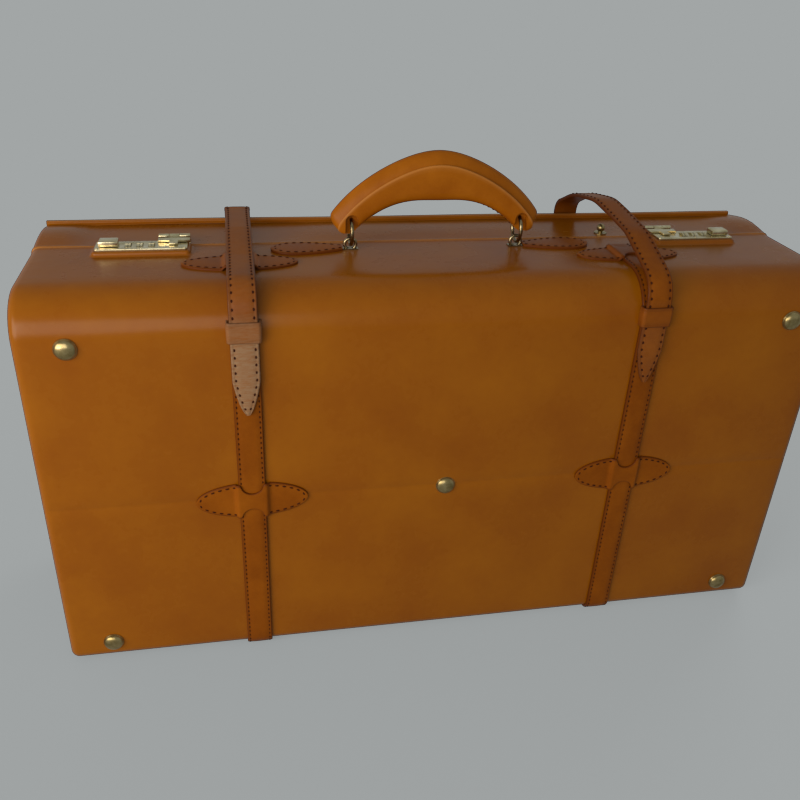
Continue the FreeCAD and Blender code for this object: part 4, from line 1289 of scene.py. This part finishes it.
# Plate rivets: small brass heads that hold each lock plate to its bed.
# They are the stud's dome again, turned up and made small.
RIVET_SIZE = 0.11
RIVET_INSET = 2.4
RIVET_SUNK = 0.05
rivet_mesh = dome_mesh.copy()
rivet_mesh.transform(Matrix.Rotation(-math.pi / 2, 4, "X"))
rivet = link_new("rivet_head", rivet_mesh)
for hand, side in SIDES.items():
    low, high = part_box("lock_case_" + hand)
    ends = sorted((low.x / MM, high.x / MM), key=abs)
    inner_x = ends[0] + side * RIVET_INSET
    outer_x = ends[1] - side * RIVET_INSET
    front_y = low.y / MM + RIVET_INSET
    rear_y = high.y / MM - RIVET_INSET
    heads = [(outer_x, front_y), (outer_x, rear_y), (inner_x, front_y), ((inner_x + outer_x) / 2, front_y)]
    points = [Vector((x, y, high.z / MM - RIVET_SUNK)) for x, y in heads]
    rivets = new_piece("lock_rivets_" + hand, points, [], 40)
    run_tree(rivets, stud_tree, {"Stud": rivet, "Size": RIVET_SIZE, "Metal": lock_brass})
    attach(rivets, "case")
bpy.data.objects.remove(rivet)

# Stitches: waxed brown linen, one saddle stitch at each pitch along every sewing line.
# Thread gives the eye short dark beads, half sunk in the pressed line.
linen, tree, shader = new_material("waxed_linen_thread")
wax = clouds(tree, object_coords(tree), 3, 3.0)
feed(tree, shader, {
    "Base Color": blend(tree, wax, "#2A0D05", "#481C0A"), "Normal": bump(tree, wax, 0.4, 0.2),
    "Roughness": 0.6, "Specular IOR Level": 0.1})


def stitching_tree():
    """Lays one bead of thread at every pitch along the piece's lines."""
    group, given = new_tree("sew_lines", {
        "Geometry": "Geometry", "Pitch": "Float", "Long": "Float", "Wide": "Float", "Thread": "Material"})
    line = put(group, "GeometryNodeMeshToCurve", {}, {"Mesh": given["Geometry"]})
    holes = put(group, "GeometryNodeResampleCurve", {"mode": "LENGTH"}, {
        "Curve": line.outputs[0], "Length": given["Pitch"]})
    along = put(group, "GeometryNodeInputTangent", {}, {})
    turn = put(group, "FunctionNodeAlignRotationToVector", {"axis": "X"}, {"Vector": along.outputs[0]})
    bead = put(group, "GeometryNodeMeshUVSphere", {}, {"Segments": 6, "Rings": 5, "Radius": 0.5})
    size = put(group, "ShaderNodeCombineXYZ", {}, {0: given["Long"], 1: given["Wide"], 2: given["Wide"]})
    sewn = put(group, "GeometryNodeInstanceOnPoints", {}, {
        "Points": holes.outputs[0], "Instance": bead.outputs["Mesh"], "Rotation": turn.outputs[0],
        "Scale": size.outputs[0]})
    real = put(group, "GeometryNodeRealizeInstances", {}, {"Geometry": sewn.outputs[0]})
    round_off = put(group, "GeometryNodeSetShadeSmooth", {}, {"Geometry": real.outputs[0]})
    made = put(group, "GeometryNodeSetMaterial", {}, {
        "Geometry": round_off.outputs[0], "Material": given["Thread"]})
    put(group, "NodeGroupOutput", {}, {"Geometry": made.outputs[0]})
    return group


# Pitch, length and width of a stitch, in millimetres: the loose tongues are sewn coarser than the rest.
STITCHES = {"strap": (5.4, 2.6, 1.3), "oval": (7.0, 4.2, 1.7), "tongue": (7.2, 3.0, 1.9)}
sewing = stitching_tree()
for (body, kind), lines in stitch_lines.items():
    name = "stitches_" + body + "_" + kind
    mesh = bpy.data.meshes.new(name)
    points = [p * MM for line in lines for p in line]
    links = []
    start = 0
    for line in lines:
        links += [(start + k, start + k + 1) for k in range(len(line) - 1)]
        start += len(line)
    mesh.from_pydata(points, links, [])
    seam = link_new(name, mesh)
    pitch, long, wide = [size * MM for size in STITCHES[kind]]
    run_tree(seam, sewing, {"Pitch": pitch, "Long": long, "Wide": wide, "Thread": linen})
    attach(seam, body)

# Floor, light and camera: a pale studio floor, with a window and a side lamp from the front left.
# A rear lamp fills the shaded sides, and the camera is the one fitted to the photo.
# The case stands upright, so the lid opens downwards: behind the hinge the floor has a bay for it.
REACH = 60.0
BAY_HALF = 0.378
BAY_FRONT = (SEAM + 1.0) * MM
BAY_REAR = 0.46
BAY_DEPTH = 0.17
PAPER = "#A2A6A6"
PAPER_GLOW = 0.5
WORLD_LIGHT = 0.29
floor_x = (-REACH, -BAY_HALF, BAY_HALF, REACH)
floor_y = (-REACH, BAY_FRONT, BAY_REAR, REACH)
corners = [(x, y, 0.0) for y in floor_y for x in floor_x]
corners += [(x, y, -BAY_DEPTH) for y in (-REACH, REACH) for x in (-REACH, REACH)]
tiles = [(4 * r + c, 4 * r + c + 1, 4 * r + c + 5, 4 * r + c + 4) for r in range(3) for c in range(3)]
bay_tile = (5, 6, 10, 9)
tiles.remove(bay_tile)
tiles.append((16, 17, 19, 18))
floor_mesh = bpy.data.meshes.new("studio_floor")
floor_mesh.from_pydata(corners, [], tiles)
floor = link_new("studio_floor", floor_mesh)
floor.is_shadow_catcher = True
floor.visible_shadow = False
paper, tree, shader = new_material("pale_paper")
feed(tree, shader, {"Base Color": hex_linear(PAPER), "Roughness": 0.9})
path = put(tree, "ShaderNodeLightPath", {}, {}).outputs
seen = calculate(tree, "MAXIMUM", path["Is Camera Ray"], path["Is Glossy Ray"])
pale = put(tree, "ShaderNodeEmission", {}, {"Color": hex_linear(PAPER), "Strength": 1.0})
sheet = put(tree, "ShaderNodeMixShader", {}, {
    0: calculate(tree, "MULTIPLY", seen, PAPER_GLOW), 1: shader.outputs[0], 2: pale.outputs[0]})
feed(tree, tree.nodes["Material Output"], {"Surface": sheet.outputs[0]})
floor_mesh.materials.append(paper)

world = bpy.data.worlds.new("studio")
bpy.context.scene.world = world
world.use_nodes = True
tree = world.node_tree
tree.nodes.clear()
path = put(tree, "ShaderNodeLightPath", {}, {}).outputs
seen = calculate(tree, "MAXIMUM", path["Is Camera Ray"], path["Is Transmission Ray"])
shown = calculate(tree, "MAXIMUM", seen, path["Is Glossy Ray"])
lit = put(tree, "ShaderNodeBackground", {}, {"Color": hex_linear("#E8ECF0"), "Strength": WORLD_LIGHT})
plain = put(tree, "ShaderNodeBackground", {}, {"Color": hex_linear(PAPER), "Strength": 1.0})
mix = put(tree, "ShaderNodeMixShader", {}, {0: shown, 1: lit.outputs[0], 2: plain.outputs[0]})
put(tree, "ShaderNodeOutputWorld", {}, {"Surface": mix.outputs[0]})


def soft_lamp(name, place, aim, wide, tall, watts, colour):
    """A large soft area lamp turned to a point on the case."""
    lamp = bpy.data.lights.new(name, "AREA")
    lamp.shape = "RECTANGLE"
    lamp.size = wide
    lamp.size_y = tall
    lamp.energy = watts
    lamp.color = hex_linear(colour)[:3]
    holder = link_new(name, lamp)
    holder.location = place
    holder.rotation_euler = (Vector(aim) - Vector(place)).to_track_quat("-Z", "Y").to_euler()
    return holder


soft_lamp("window", (-0.66, -1.56, 0.86), (-0.25, 0, 0.3), 1.1, 0.85, 8, "#FFF8F0")
soft_lamp("side", (-1.15, -0.85, 0.62), (-0.2, 0, 0.25), 0.9, 0.7, 11, "#FFF2E2")
# The rear lamp only fills the shaded sides: it draws no sheen on the top of the case.
rear = soft_lamp("rear", (1.9, 1.75, 0.8), (0.1, 0, 0.25), 1.4, 1.0, 20, "#F4F6FF")
rear.visible_glossy = False

PHOTO_WIDE = 800
FOCAL_PIXELS = 836.5
camera = bpy.data.cameras.new("photo_camera")
camera.sensor_width = 36.0
camera.lens = FOCAL_PIXELS * camera.sensor_width / PHOTO_WIDE
eye = link_new("photo_camera", camera)
eye.location = (-0.1880, -0.7606, 0.6545)
eye.rotation_euler = [math.radians(d) for d in (61.192, -2.350, -10.582)]
bpy.context.scene.camera = eye
bpy.context.scene.view_settings.view_transform = "Standard"
